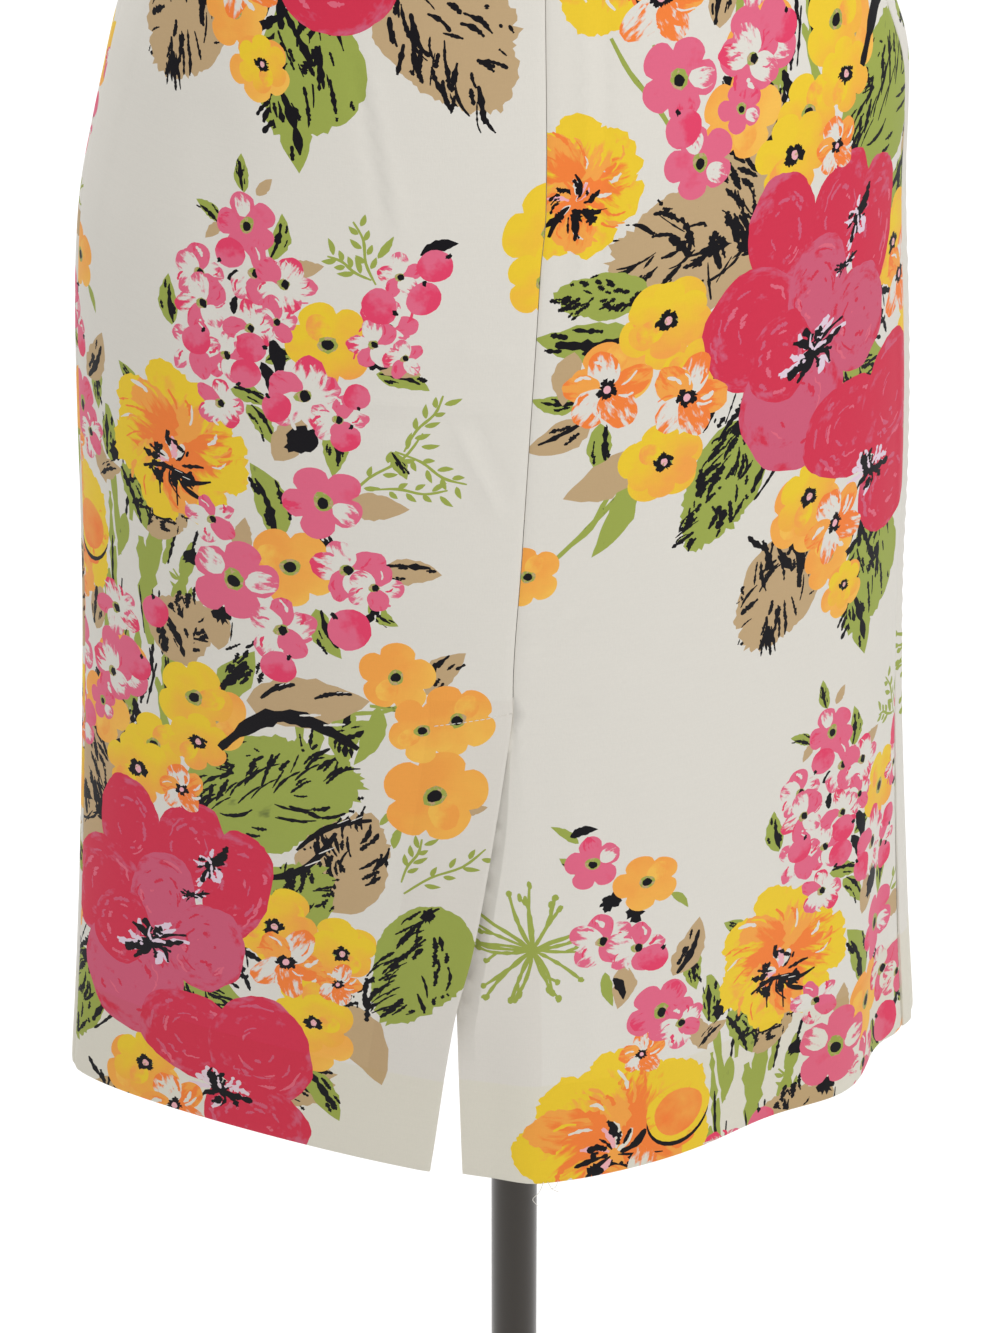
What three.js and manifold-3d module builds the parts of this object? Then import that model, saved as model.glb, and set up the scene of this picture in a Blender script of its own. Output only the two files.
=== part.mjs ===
// A knee-length pencil skirt standing on a limbless dress form.
// Millimetres, +Z up. The origin is on the floor, at the centre of the stand's base.
// The back of the skirt faces +Y, and the wearer's left is at +X.
import * as THREE from 'three';
import Module from 'manifold-3d';
import { mergeVertices } from 'three/addons/utils/BufferGeometryUtils.js';

// ---- Driving sizes ----------------------------------------------------------

const hemHeight = 500;          // lowest edge of the skirt above the floor
const waistSeam = 616;          // all heights below are counted from the hem
const bandHeight = 40;
const ventTop = 256;
const underlapTop = 264;
const hemAllowance = 55;
const facingWidth = 38;
const seamGap = 0.3;            // between pieces that are sewn together
const clothWall = 1.2;
const turnedWall = 2.2;         // two layers: hem allowance and vent facing
const bandWall = 1.6;
const underlapStep = 3.2;       // how far the underlap lies behind the outer face
const leftSeamTurn = 88;        // the side seams, in degrees round from the centre back
const rightSeamTurn = -75;
const sideSeamHalfGap = 0.06;   // the same seam gap, in degrees
const bandSlit = 2;             // opening in the waistband for the zip

// The skirt's cross-sections, from the hem up. left, right, back and front are how far the
// outer face stands from the pole's axis. A pinch draws a back quarter from a round arc (0)
// towards a straight run (1) between the centre back and the side.
const sections = [
  { height: 0, left: 219.1, right: 200.5, back: 134, front: 124, pinchLeft: 0.66, pinchRight: 0.27 },
  { height: 50, left: 215.1, right: 196.3, back: 132, front: 122, pinchLeft: 0.57, pinchRight: 0.24 },
  { height: 98, left: 211.8, right: 192.9, back: 131, front: 121, pinchLeft: 0.46, pinchRight: 0.2 },
  { height: 144, left: 209.1, right: 189.8, back: 130, front: 120.5, pinchLeft: 0.38, pinchRight: 0.16 },
  { height: 190, left: 206.8, right: 187.1, back: 129, front: 120, pinchLeft: 0.28, pinchRight: 0.12 },
  { height: 256, left: 204.1, right: 184.9, back: 128.5, front: 120, pinchLeft: 0.17, pinchRight: 0.08 },
  { height: 314, left: 203.0, right: 184.7, back: 128, front: 120, pinchLeft: 0.09, pinchRight: 0.04 },
  { height: 361, left: 202.6, right: 183.5, back: 128, front: 120, pinchLeft: 0.04, pinchRight: 0.02 },
  { height: 402, left: 201.8, right: 181.3, back: 128, front: 119.5, pinchLeft: 0, pinchRight: 0 },
  { height: 437, left: 200.1, right: 179.2, back: 127.5, front: 119, pinchLeft: 0, pinchRight: 0 },
  { height: 468, left: 196.8, right: 178.2, back: 126, front: 117.5, pinchLeft: 0, pinchRight: 0 },
  { height: 497, left: 190.9, right: 178.3, back: 123.5, front: 115, pinchLeft: 0, pinchRight: 0 },
  { height: 524, left: 184.7, right: 176.7, back: 120, front: 112, pinchLeft: 0, pinchRight: 0 },
  { height: 550, left: 178.5, right: 168.5, back: 116, front: 108.5, pinchLeft: 0, pinchRight: 0 },
  { height: 582, left: 168.3, right: 158.1, back: 110.5, front: 104, pinchLeft: 0, pinchRight: 0 },
  { height: 616, left: 155.9, right: 148.1, back: 105.2, front: 100.2, pinchLeft: 0, pinchRight: 0 },
  { height: 636, left: 150.3, right: 144.5, back: 103, front: 98.6, pinchLeft: 0, pinchRight: 0 },
  { height: 656, left: 148.1, right: 143.3, back: 102.2, front: 98, pinchLeft: 0, pinchRight: 0 },
];

// How far the centre-back seam stands to the wearer's left of the pole's axis. Below the
// vent's top it is the crease from which the underlap starts.
const seamLine = [
  { height: 0, across: 7.2 },
  { height: 72, across: 7.7 },
  { height: 97, across: 8.2 },
  { height: 130, across: 9.3 },
  { height: 190, across: 12.2 },
  { height: 256, across: 19.9 },
  { height: 336, across: 16.0 },
  { height: 474, across: 7.8 },
  { height: 500, across: 5.2 },
  { height: 602, across: 3.4 },
  { height: 656, across: 2.6 },
];

// The vent's free edges, counted in the same way: the outer flap's and the underlap's.
const ventEdges = [
  { height: 0, flap: 58.6, underlap: 44.4 },
  { height: 90, flap: 46.7, underlap: 46.7 },
  { height: 130, flap: 38.2, underlap: 48.6 },
  { height: 195, flap: 28.4, underlap: 52.0 },
  { height: 256, flap: 20.2, underlap: 55.2 },
  { height: 264, flap: 20.2, underlap: 55.6 },
];

// The largest soft folds. Each runs up from the hem, leans from one turn to the other,
// and fades out at its top. A rise below zero is a hollow.
const folds = [
  { turnAtHem: -52, turnAtTop: -62, top: 330, width: 8, rise: 7 },
  { turnAtHem: -66, turnAtTop: -70, top: 250, width: 7, rise: -5 },
  { turnAtHem: -38, turnAtTop: -46, top: 210, width: 9, rise: -3 },
  { turnAtHem: -150, turnAtTop: -142, top: 300, width: 12, rise: 5 },
  { turnAtHem: -128, turnAtTop: -124, top: 220, width: 11, rise: -4 },
  { turnAtHem: 146, turnAtTop: 138, top: 260, width: 12, rise: 4.5 },
  { turnAtHem: 118, turnAtTop: 116, top: 180, width: 10, rise: -3 },
];

// Heights at which each panel has a ring of points.
const panelRows = [
  0, 20, 54, 57, 90, 130, 165, 200, 232, 256, 264, 300, 340, 385, 425, 460, 492, 520, 548, 580, 615.7,
];

// The dress form: heights from the hem, and how far it stands from the pole's axis.
const formSections = [
  { height: 330, side: 60, back: 45, front: 42 },
  { height: 331, side: 118, back: 78, front: 72 },
  { height: 338, side: 148, back: 95, front: 88 },
  { height: 356, side: 167, back: 106, front: 99 },
  { height: 400, side: 174, back: 114, front: 108 },
  { height: 450, side: 172, back: 115, front: 108 },
  { height: 500, side: 165, back: 110, front: 103 },
  { height: 550, side: 155, back: 103, front: 97 },
  { height: 590, side: 147, back: 98, front: 94 },
  { height: 616, side: 142.6, back: 96, front: 93 },
];
const upperFormSections = [
  { height: 676, side: 142, back: 98, front: 96 },
  { height: 720, side: 149, back: 103, front: 100 },
  { height: 770, side: 157, back: 107, front: 112 },
  { height: 820, side: 163, back: 109, front: 129 },
  { height: 850, side: 165, back: 110, front: 131 },
  { height: 890, side: 167, back: 111, front: 121 },
  { height: 930, side: 172, back: 110, front: 105 },
  { height: 970, side: 181, back: 103, front: 88 },
  { height: 1000, side: 184, back: 90, front: 72 },
  { height: 1022, side: 168, back: 78, front: 58 },
  { height: 1040, side: 132, back: 68, front: 50 },
  { height: 1055, side: 88, back: 60, front: 48 },
  { height: 1072, side: 62, back: 56, front: 48 },
  { height: 1110, side: 56, back: 54, front: 50 },
  { height: 1118, side: 50, back: 48, front: 45 },
  { height: 1120, side: 25, back: 24, front: 22 },
];
const formColumns = 48;
const bandSeat = 0.4;           // the form's clearance inside the waistband
const bandSeatRows = [624, 636, 656];
const sliderRoom = 2.6;         // more room behind the slider at the centre back
const sliderRoomWidth = 14;     // degrees over which that room fades out

const poleRadius = 11.5;
const baseRadius = 200;
const baseRim = 9;
const baseCrown = 20;

// The zip's slider and its pull, counted from the pull's hinge axis.
const hingeHeight = 643;
const bridgeRadius = 1.9;
const tunnelRadius = 1;
const bridgeWidth = 1.4;
const neckHalfHeight = 1.2;
const sliderPlate = { width: 6, height: 8, thickness: 0.8 };
const pullBar = 0.5;
const pullThickness = 0.9;
const pullSlot = { halfWidth: 1, depth: 3 };
const pullTab = { neck: 2, halfWidth: 3, length: 21 };

// ---- Finishes ---------------------------------------------------------------

const cotton = (name) => new THREE.MeshStandardMaterial({ name, color: 0xe6e2d6, roughness: 0.75 });
const linen = () => new THREE.MeshStandardMaterial({ name: 'linen', color: 0xd9cfbb, roughness: 0.9 });
const darkSteel = () => new THREE.MeshStandardMaterial({
  name: 'dark painted steel', color: 0x463e34, roughness: 0.4, metalness: 0.3,
});
const zipMetal = () => new THREE.MeshStandardMaterial({
  name: 'zip metal', color: 0xd8d4c8, roughness: 0.35, metalness: 0.6,
});

// ---- Reading the tables -----------------------------------------------------

// A smooth curve through one column of a table, at any height.
function readColumn(table, column, height) {
  const last = table.length - 1;
  let lower = 0;
  while (lower < last - 1 && table[lower + 1].height < height) lower += 1;
  const slopeAt = (index) => {
    const before = table[Math.max(index - 1, 0)];
    const after = table[Math.min(index + 1, last)];
    return (after[column] - before[column]) / (after.height - before.height);
  };
  const start = table[lower];
  const end = table[lower + 1];
  const span = end.height - start.height;
  const part = THREE.MathUtils.clamp((height - start.height) / span, 0, 1);
  const squared = part * part;
  const cubed = squared * part;
  return start[column] * (2 * cubed - 3 * squared + 1)
    + end[column] * (3 * squared - 2 * cubed)
    + slopeAt(lower) * span * (cubed - 2 * squared + part)
    + slopeAt(lower + 1) * span * (cubed - squared);
}

function sectionAt(height) {
  const read = (column) => readColumn(sections, column, height);
  const left = read('left');
  const right = read('right');
  return {
    centre: (left - right) / 2,
    side: (left + right) / 2,
    back: read('back'),
    front: read('front'),
    pinchLeft: Math.max(read('pinchLeft'), 0),
    pinchRight: Math.max(read('pinchRight'), 0),
  };
}

// ---- The skirt's outer face -------------------------------------------------

const radians = THREE.MathUtils.degToRad;

// A point of the section, before its folds. turn is 0 at the centre back and 90 at the
// wearer's left.
function plainOutline(section, turn) {
  const across = Math.sin(radians(turn));
  const along = Math.cos(radians(turn));
  const atBack = along > 0;
  const pinch = atBack ? (across > 0 ? section.pinchLeft : section.pinchRight) : 0;
  const straightX = Math.sign(across) * across * across;
  const straightY = along * along;
  const depth = atBack ? section.back : section.front;
  return new THREE.Vector2(
    section.centre + section.side * ((1 - pinch) * across + pinch * straightX),
    depth * ((1 - pinch) * along + pinch * straightY),
  );
}

function outwardNormal(outline, turn) {
  const step = 0.5;
  const along = outline(turn + step).sub(outline(turn - step));
  return new THREE.Vector2(-along.y, along.x).normalize();
}

function foldRise(turn, height) {
  let rise = 0;
  for (const fold of folds) {
    if (height >= fold.top) continue;
    const up = height / fold.top;
    const middle = THREE.MathUtils.lerp(fold.turnAtHem, fold.turnAtTop, up);
    const away = (turn - middle) / fold.width;
    const fade = (1 - up) * (1 - up) * (1 + 2 * up);
    rise += fold.rise * fade * Math.exp(-away * away);
  }
  return rise;
}

function foldedOutline(section, turn, height) {
  const plain = (at) => plainOutline(section, at);
  return plain(turn).addScaledVector(outwardNormal(plain, turn), foldRise(turn, height));
}

// A point of the skirt, moved in from the outer face by an inset.
function skin(turn, height, inset) {
  const section = sectionAt(height);
  const outline = (at) => foldedOutline(section, at, height);
  const point = outline(turn).addScaledVector(outwardNormal(outline, turn), -inset);
  return new THREE.Vector3(point.x, point.y, hemHeight + height);
}

// The turn at which the back of a section stands a distance from the pole's axis.
function turnAt(distance, height) {
  const section = sectionAt(height);
  const share = (distance - section.centre) / section.side;
  const pinch = share > 0 ? section.pinchLeft : section.pinchRight;
  const size = Math.abs(share);
  const round = 1 - pinch;
  const sine = pinch > 0.001 ? (Math.sqrt(round * round + 4 * pinch * size) - round) / (2 * pinch) : size;
  return THREE.MathUtils.radToDeg(Math.asin(sine)) * Math.sign(share);
}

function creaseAt(height) {
  return readColumn(seamLine, 'across', height);
}

// The left back's edge: the seam, and below the vent's top the flap.
function flapAt(height) {
  return height >= ventTop ? creaseAt(height) + seamGap : readColumn(ventEdges, 'flap', height);
}

// ---- Walls ------------------------------------------------------------------

// A closed wall over a grid. place gives the outer (side 0) and inner (side 1) point of a
// column and row, and a cell that is not cloth is left open. Columns run with the turn and
// rows run up.
function wallGeometry(columns, rows, place, isCloth = () => true) {
  const positions = [];
  const faces = [];
  const index = (column, row, side) => (side * (rows + 1) + row) * (columns + 1) + column;
  for (let side = 0; side < 2; side += 1) {
    for (let row = 0; row <= rows; row += 1) {
      for (let column = 0; column <= columns; column += 1) {
        positions.push(...place(column, row, side).toArray());
      }
    }
  }
  const quad = (a, b, c, d) => faces.push(a, b, c, a, c, d);
  const cloth = (column, row) => column >= 0 && row >= 0 && column < columns && row < rows
    && isCloth(column, row);
  for (let row = 0; row < rows; row += 1) {
    for (let column = 0; column < columns; column += 1) {
      if (!cloth(column, row)) continue;
      const corner = (right, up, side) => index(column + right, row + up, side);
      quad(corner(0, 0, 0), corner(0, 1, 0), corner(1, 1, 0), corner(1, 0, 0));
      quad(corner(0, 0, 1), corner(1, 0, 1), corner(1, 1, 1), corner(0, 1, 1));
      if (!cloth(column, row - 1)) quad(corner(0, 0, 0), corner(1, 0, 0), corner(1, 0, 1), corner(0, 0, 1));
      if (!cloth(column, row + 1)) quad(corner(0, 1, 0), corner(0, 1, 1), corner(1, 1, 1), corner(1, 1, 0));
      if (!cloth(column - 1, row)) quad(corner(0, 0, 0), corner(0, 0, 1), corner(0, 1, 1), corner(0, 1, 0));
      if (!cloth(column + 1, row)) quad(corner(1, 0, 0), corner(1, 1, 0), corner(1, 1, 1), corner(1, 0, 1));
    }
  }
  const geometry = new THREE.BufferGeometry();
  geometry.setAttribute('position', new THREE.Float32BufferAttribute(positions, 3));
  geometry.setIndex(faces);
  return dropUnused(geometry);
}

function dropUnused(geometry) {
  const loose = geometry.toNonIndexed();
  loose.deleteAttribute('normal');
  loose.deleteAttribute('uv');
  return mergeVertices(loose, 1e-4);
}

function wallThickness(height) {
  return height <= hemAllowance ? turnedWall : clothWall;
}

// ---- The skirt's pieces -----------------------------------------------------

const rowCount = panelRows.length - 1;

function frontPanel() {
  const columns = 30;
  return wallGeometry(columns, rowCount, (column, row, side) => {
    const height = panelRows[row];
    const start = leftSeamTurn + sideSeamHalfGap;
    const end = 360 + rightSeamTurn - sideSeamHalfGap;
    const turn = THREE.MathUtils.lerp(start, end, column / columns);
    const wrapped = turn > 180 ? turn - 360 : turn;
    return skin(wrapped, height, side * wallThickness(height));
  });
}

// The wearer's left back. Below the vent's top its edge is the outer flap, and its last
// columns are doubled by the turned-in facing.
function backLeftPanel() {
  const columns = 18;
  const facingColumns = 4;
  return wallGeometry(columns, rowCount, (column, row, side) => {
    const height = panelRows[row];
    const edge = flapAt(height);
    const facingEnd = turnAt(edge + facingWidth, height);
    const beyond = (column - facingColumns) / (columns - facingColumns);
    const turn = column < facingColumns
      ? turnAt(edge + facingWidth * (column / facingColumns), height)
      : THREE.MathUtils.lerp(facingEnd, leftSeamTurn - sideSeamHalfGap, beyond);
    const doubled = height <= underlapTop && column < facingColumns;
    const thickness = doubled ? turnedWall : wallThickness(height);
    return skin(turn, height, side * thickness);
  });
}

// The wearer's right back. Below the vent's top its last columns are the underlap, which
// steps in behind the flap at the crease and ends a little above the vent's top.
function backRightPanel() {
  const mainColumns = 18;
  const underlapColumns = 5;
  const start = rightSeamTurn + sideSeamHalfGap;
  const place = (column, row, side) => {
    const height = panelRows[row];
    const thickness = wallThickness(height);
    const crease = creaseAt(height);
    if (column < mainColumns) {
      const turn = THREE.MathUtils.lerp(start, turnAt(crease, height), column / mainColumns);
      return skin(turn, height, side * thickness);
    }
    const corner = crease - side * thickness;
    if (column === mainColumns) return skin(turnAt(corner, height), height, side * thickness);
    const reach = readColumn(ventEdges, 'underlap', Math.min(height, underlapTop)) - crease;
    const ramp = THREE.MathUtils.clamp(flapAt(height) - crease - 2, 0, 0.7 * reach);
    const width = reach - ramp;
    const part = (column - mainColumns - 1) / (underlapColumns - 1);
    const distance = (part === 0 ? corner : crease) + ramp + width * part;
    return skin(turnAt(distance, height), height, underlapStep + side * thickness);
  };
  const isCloth = (column, row) => column < mainColumns || panelRows[row + 1] <= underlapTop;
  return wallGeometry(mainColumns + underlapColumns, rowCount, place, isCloth);
}

function waistband() {
  const columns = formColumns;
  const rows = [waistSeam, waistSeam + bandHeight / 2, waistSeam + bandHeight];
  return wallGeometry(columns, rows.length - 1, (column, row, side) => {
    const height = rows[row];
    const start = turnAt(creaseAt(height) + bandSlit / 2, height);
    const end = 360 + turnAt(creaseAt(height) - bandSlit / 2, height);
    const even = (column * 360) / columns;
    const turn = THREE.MathUtils.clamp(even, start, end);
    const wrapped = turn > 180 ? turn - 360 : turn;
    return skin(wrapped, height, side * bandWall);
  });
}

// ---- The dress form and its stand -------------------------------------------

// Behind the waistband the form follows the band's inner face, with more room at the
// centre back for the slider.
function bandSeatRing(height) {
  const ring = [];
  for (let column = 0; column < formColumns; column += 1) {
    const turn = (column * 360) / formColumns;
    const wrapped = turn > 180 ? turn - 360 : turn;
    const room = sliderRoom * Math.exp(-((wrapped / sliderRoomWidth) ** 2));
    ring.push(skin(wrapped, height, bandWall + bandSeat + room));
  }
  return ring;
}

// Inside the skirt the form is centred in it; above the waist it is centred on the pole.
function formRing({ height, side, back, front }) {
  const ring = [];
  const centre = height < waistSeam + bandHeight ? sectionAt(height).centre : 0;
  for (let column = 0; column < formColumns; column += 1) {
    const turn = radians((column * 360) / formColumns);
    const depth = Math.cos(turn) > 0 ? back : front;
    ring.push(new THREE.Vector3(centre + side * Math.sin(turn), depth * Math.cos(turn), hemHeight + height));
  }
  return ring;
}

// A closed body through rings with equal numbers of points, from the lowest up.
function stackedRings(rings) {
  const positions = [];
  const faces = [];
  const around = rings[0].length;
  for (const ring of rings) {
    for (const point of ring) positions.push(...point.toArray());
  }
  for (let level = 0; level < rings.length - 1; level += 1) {
    for (let column = 0; column < around; column += 1) {
      const next = (column + 1) % around;
      const a = level * around + column;
      const b = level * around + next;
      faces.push(a, a + around, b + around, a, b + around, b);
    }
  }
  const top = (rings.length - 1) * around;
  for (let column = 1; column < around - 1; column += 1) {
    faces.push(0, column, column + 1);
    faces.push(top, top + column + 1, top + column);
  }
  const geometry = new THREE.BufferGeometry();
  geometry.setAttribute('position', new THREE.Float32BufferAttribute(positions, 3));
  geometry.setIndex(faces);
  return geometry;
}

function formTorso() {
  const hips = formSections.map(formRing);
  const waist = bandSeatRows.map(bandSeatRing);
  const chest = upperFormSections.map(formRing);
  return stackedRings([...hips, ...waist, ...chest]);
}

function standPole() {
  const bottom = baseCrown + seamGap;
  const top = hemHeight + formSections[0].height - seamGap;
  const geometry = new THREE.CylinderGeometry(poleRadius, poleRadius, top - bottom, 24);
  geometry.rotateX(Math.PI / 2);
  geometry.translate(0, 0, (top + bottom) / 2);
  return geometry;
}

function standBase() {
  const profile = [
    [0, 0],
    [baseRadius - 2, 0],
    [baseRadius, 2],
    [baseRadius, baseRim - 3],
    [baseRadius - 4, baseRim],
    [baseRadius * 0.7, baseRim + 4],
    [baseRadius * 0.35, baseRim + 8],
    [40, baseCrown],
    [0, baseCrown],
  ].map(([radius, height]) => new THREE.Vector2(radius, height));
  const geometry = new THREE.LatheGeometry(profile, 40);
  geometry.rotateX(Math.PI / 2);
  return geometry;
}

// ---- The zip ----------------------------------------------------------------

const wasm = await Module();
wasm.setup();

function toSolid(geometry) {
  const merged = dropUnused(geometry.index ? geometry : mergeVertices(geometry));
  return new wasm.Manifold(new wasm.Mesh({
    numProp: 3,
    vertProperties: new Float32Array(merged.attributes.position.array),
    triVerts: new Uint32Array(merged.index.array),
  }));
}

function fromSolid(solid) {
  const { vertProperties, triVerts } = solid.getMesh();
  const geometry = new THREE.BufferGeometry();
  geometry.setAttribute('position', new THREE.BufferAttribute(vertProperties, 3));
  geometry.setIndex(new THREE.BufferAttribute(triVerts, 1));
  return geometry;
}

// The hinge's axis lies along X. Y points out of the cloth.
const clothFace = -(bridgeRadius + seamGap);
const plateFace = clothFace - bandWall - seamGap;

function zipSlider() {
  const outline = new THREE.Shape();
  outline.moveTo(plateFace - sliderPlate.thickness / 2, -neckHalfHeight);
  outline.lineTo(clothFace, -neckHalfHeight);
  outline.lineTo(0, -bridgeRadius);
  outline.absarc(0, 0, bridgeRadius, -Math.PI / 2, Math.PI / 2, false);
  outline.lineTo(clothFace, neckHalfHeight);
  outline.lineTo(plateFace - sliderPlate.thickness / 2, neckHalfHeight);
  outline.closePath();
  const tunnel = new THREE.Path();
  tunnel.absarc(0, 0, tunnelRadius, 0, Math.PI * 2, true);
  outline.holes.push(tunnel);
  const bridge = new THREE.ExtrudeGeometry(outline, {
    depth: bridgeWidth, bevelEnabled: false, curveSegments: 12,
  });
  bridge.translate(0, 0, -bridgeWidth / 2);
  bridge.applyMatrix4(new THREE.Matrix4().makeBasis(
    new THREE.Vector3(0, 1, 0), new THREE.Vector3(0, 0, 1), new THREE.Vector3(1, 0, 0),
  ));
  const plate = new THREE.BoxGeometry(sliderPlate.width, sliderPlate.thickness, sliderPlate.height);
  plate.translate(0, plateFace - sliderPlate.thickness / 2, 0);
  return fromSolid(toSolid(bridge).add(toSolid(plate)));
}

function zipPull() {
  const tip = new THREE.Shape();
  tip.moveTo(pullTab.neck, pullBar);
  tip.lineTo(-pullTab.neck, pullBar);
  tip.lineTo(-pullTab.neck, -pullSlot.depth - 1);
  tip.lineTo(-pullTab.halfWidth, -pullTab.length + pullTab.halfWidth);
  tip.absarc(0, -pullTab.length + pullTab.halfWidth, pullTab.halfWidth, Math.PI, 2 * Math.PI, false);
  tip.lineTo(pullTab.neck, -pullSlot.depth - 1);
  tip.closePath();
  const slot = new THREE.Path();
  slot.moveTo(-pullSlot.halfWidth, -pullBar);
  slot.lineTo(pullSlot.halfWidth, -pullBar);
  slot.lineTo(pullSlot.halfWidth, -pullSlot.depth);
  slot.lineTo(-pullSlot.halfWidth, -pullSlot.depth);
  slot.closePath();
  tip.holes.push(slot);
  const geometry = new THREE.ExtrudeGeometry(tip, {
    depth: pullThickness, bevelEnabled: false, curveSegments: 8,
  });
  geometry.translate(0, 0, -pullThickness / 2);
  geometry.rotateX(Math.PI / 2);
  return geometry;
}

// Stands the slider and its pull on the waistband at the centre back, square to its face.
function zipPlace() {
  const turn = turnAt(creaseAt(hingeHeight), hingeHeight);
  const face = skin(turn, hingeHeight, 0);
  const below = skin(turn, hingeHeight - pullTab.length, 0);
  const group = new THREE.Group();
  group.position.copy(face);
  group.position.y -= clothFace;
  group.rotation.x = Math.atan2(below.y - face.y, face.z - below.z);
  return group;
}

// ---- The whole skirt --------------------------------------------------------

const group = new THREE.Group();

function addPiece(parent, name, geometry, material) {
  const mesh = new THREE.Mesh(geometry, material);
  mesh.name = name;
  parent.add(mesh);
}

addPiece(group, 'front_panel', frontPanel(), cotton('printed cotton, front'));
addPiece(group, 'back_left_panel', backLeftPanel(), cotton('printed cotton, left back'));
addPiece(group, 'back_right_panel', backRightPanel(), cotton('printed cotton, right back'));
addPiece(group, 'waistband', waistband(), cotton('printed cotton, waistband'));
addPiece(group, 'form_torso', formTorso(), linen());
addPiece(group, 'stand_pole', standPole(), darkSteel());
addPiece(group, 'stand_base', standBase(), darkSteel());

const zip = zipPlace();
addPiece(zip, 'zip_slider', zipSlider(), zipMetal());
addPiece(zip, 'zip_pull', zipPull(), zipMetal());
group.add(zip);

export default group;
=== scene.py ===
# %% [markdown]
# # A flower-print pencil skirt on a dress form
# The skirt is four pieces of cotton sateen: a front, two backs that meet at a zip and a vent,
# and a waistband. The measured solids are loaded first. Every piece made below follows them.

# %% Load the measured frame
import math
import random

import bmesh
import bpy
import numpy as np
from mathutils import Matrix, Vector
from mathutils.geometry import delaunay_2d_cdt


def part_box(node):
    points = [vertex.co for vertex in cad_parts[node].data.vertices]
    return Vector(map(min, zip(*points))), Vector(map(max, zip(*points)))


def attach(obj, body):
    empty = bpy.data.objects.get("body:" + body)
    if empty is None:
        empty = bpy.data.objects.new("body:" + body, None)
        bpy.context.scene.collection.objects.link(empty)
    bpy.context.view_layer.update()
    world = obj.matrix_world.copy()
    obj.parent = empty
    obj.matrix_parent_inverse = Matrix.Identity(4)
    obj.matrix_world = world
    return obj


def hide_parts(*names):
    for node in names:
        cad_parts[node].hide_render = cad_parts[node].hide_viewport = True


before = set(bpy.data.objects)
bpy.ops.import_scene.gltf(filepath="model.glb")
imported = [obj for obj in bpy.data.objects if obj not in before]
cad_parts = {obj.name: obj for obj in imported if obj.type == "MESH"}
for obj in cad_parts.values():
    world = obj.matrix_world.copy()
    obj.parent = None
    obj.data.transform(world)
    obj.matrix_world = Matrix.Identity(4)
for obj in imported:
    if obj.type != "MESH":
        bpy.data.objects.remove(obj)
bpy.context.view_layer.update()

MM = 0.001
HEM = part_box("front_panel")[0][2] / MM
print("nodes:", ", ".join(sorted(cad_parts)))
print("hem stands", round(HEM), "mm above the floor")

# %% [markdown]
# ## Camera
# A long lens a little above the hips, looking down at the back of the skirt from its left.
# A camera far away with a long lens keeps the sides of the skirt nearly parallel, as a
# catalogue picture does.

# %% Place the camera
CAMERA_DISTANCE = 2.6
CAMERA_PITCH = math.radians(30)
CAMERA_YAW = math.radians(8.4)
LOOK_HEIGHT = 206
LOOK_ASIDE = 7.4
LENS = 147.5


def place_camera():
    backward = Vector((
        math.sin(CAMERA_YAW) * math.cos(CAMERA_PITCH),
        math.cos(CAMERA_YAW) * math.cos(CAMERA_PITCH),
        math.sin(CAMERA_PITCH),
    ))
    aside = Vector((math.cos(CAMERA_YAW), -math.sin(CAMERA_YAW), 0)) * LOOK_ASIDE * MM
    target = Vector((0, 0, (HEM + LOOK_HEIGHT) * MM)) + aside
    data = bpy.data.cameras.new("camera")
    data.lens = LENS
    data.clip_end = 50
    camera = bpy.data.objects.new("camera", data)
    camera.location = target + backward * CAMERA_DISTANCE
    camera.rotation_euler = backward.to_track_quat("Z", "Y").to_euler()
    bpy.context.collection.objects.link(camera)
    bpy.context.scene.camera = camera
    return camera


camera = place_camera()
print("camera at", [round(value, 3) for value in camera.location])

# %% [markdown]
# ## The form of the cloth
# A worn skirt is a tube whose cross-section changes with height. A few measured sections,
# joined by smooth curves, say how far the cloth stands from the stand's pole on each side.
# A pinch pulls a back quarter of a section from a round arc towards a straight line.

# %% Sections, seam lines and large folds, in millimetres above the hem
SECTION_COLUMNS = ("height", "left", "right", "back", "front", "pinch_left", "pinch_right")
SECTIONS = [
    (0, 219.1, 200.5, 134, 124, 0.66, 0.27),
    (50, 215.1, 196.3, 132, 122, 0.57, 0.24),
    (98, 211.8, 192.9, 131, 121, 0.46, 0.2),
    (144, 209.1, 189.8, 130, 120.5, 0.38, 0.16),
    (190, 206.8, 187.1, 129, 120, 0.28, 0.12),
    (256, 204.1, 184.9, 128.5, 120, 0.17, 0.08),
    (314, 203.0, 184.7, 128, 120, 0.09, 0.04),
    (361, 202.6, 183.5, 128, 120, 0.04, 0.02),
    (402, 201.8, 181.3, 128, 119.5, 0, 0),
    (437, 200.1, 179.2, 127.5, 119, 0, 0),
    (468, 196.8, 178.2, 126, 117.5, 0, 0),
    (497, 190.9, 178.3, 123.5, 115, 0, 0),
    (524, 184.7, 176.7, 120, 112, 0, 0),
    (550, 178.5, 168.5, 116, 108.5, 0, 0),
    (582, 168.3, 158.1, 110.5, 104, 0, 0),
    (616, 155.9, 148.1, 105.2, 100.2, 0, 0),
    (636, 150.3, 144.5, 103, 98.6, 0, 0),
    (656, 148.1, 143.3, 102.2, 98, 0, 0),
]
SEAM_COLUMNS = ("height", "across")
SEAM_LINE = [
    (0, 7.2), (72, 7.7), (97, 8.2), (130, 9.3), (190, 12.2), (256, 19.9),
    (336, 16.0), (474, 7.8), (500, 5.2), (602, 3.4), (656, 2.6),
]
VENT_COLUMNS = ("height", "flap", "underlap")
VENT_EDGES = [
    (0, 58.6, 44.4), (90, 46.7, 46.7), (130, 38.2, 48.6),
    (195, 28.4, 52.0), (256, 20.2, 55.2), (264, 20.2, 55.6),
]
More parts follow.
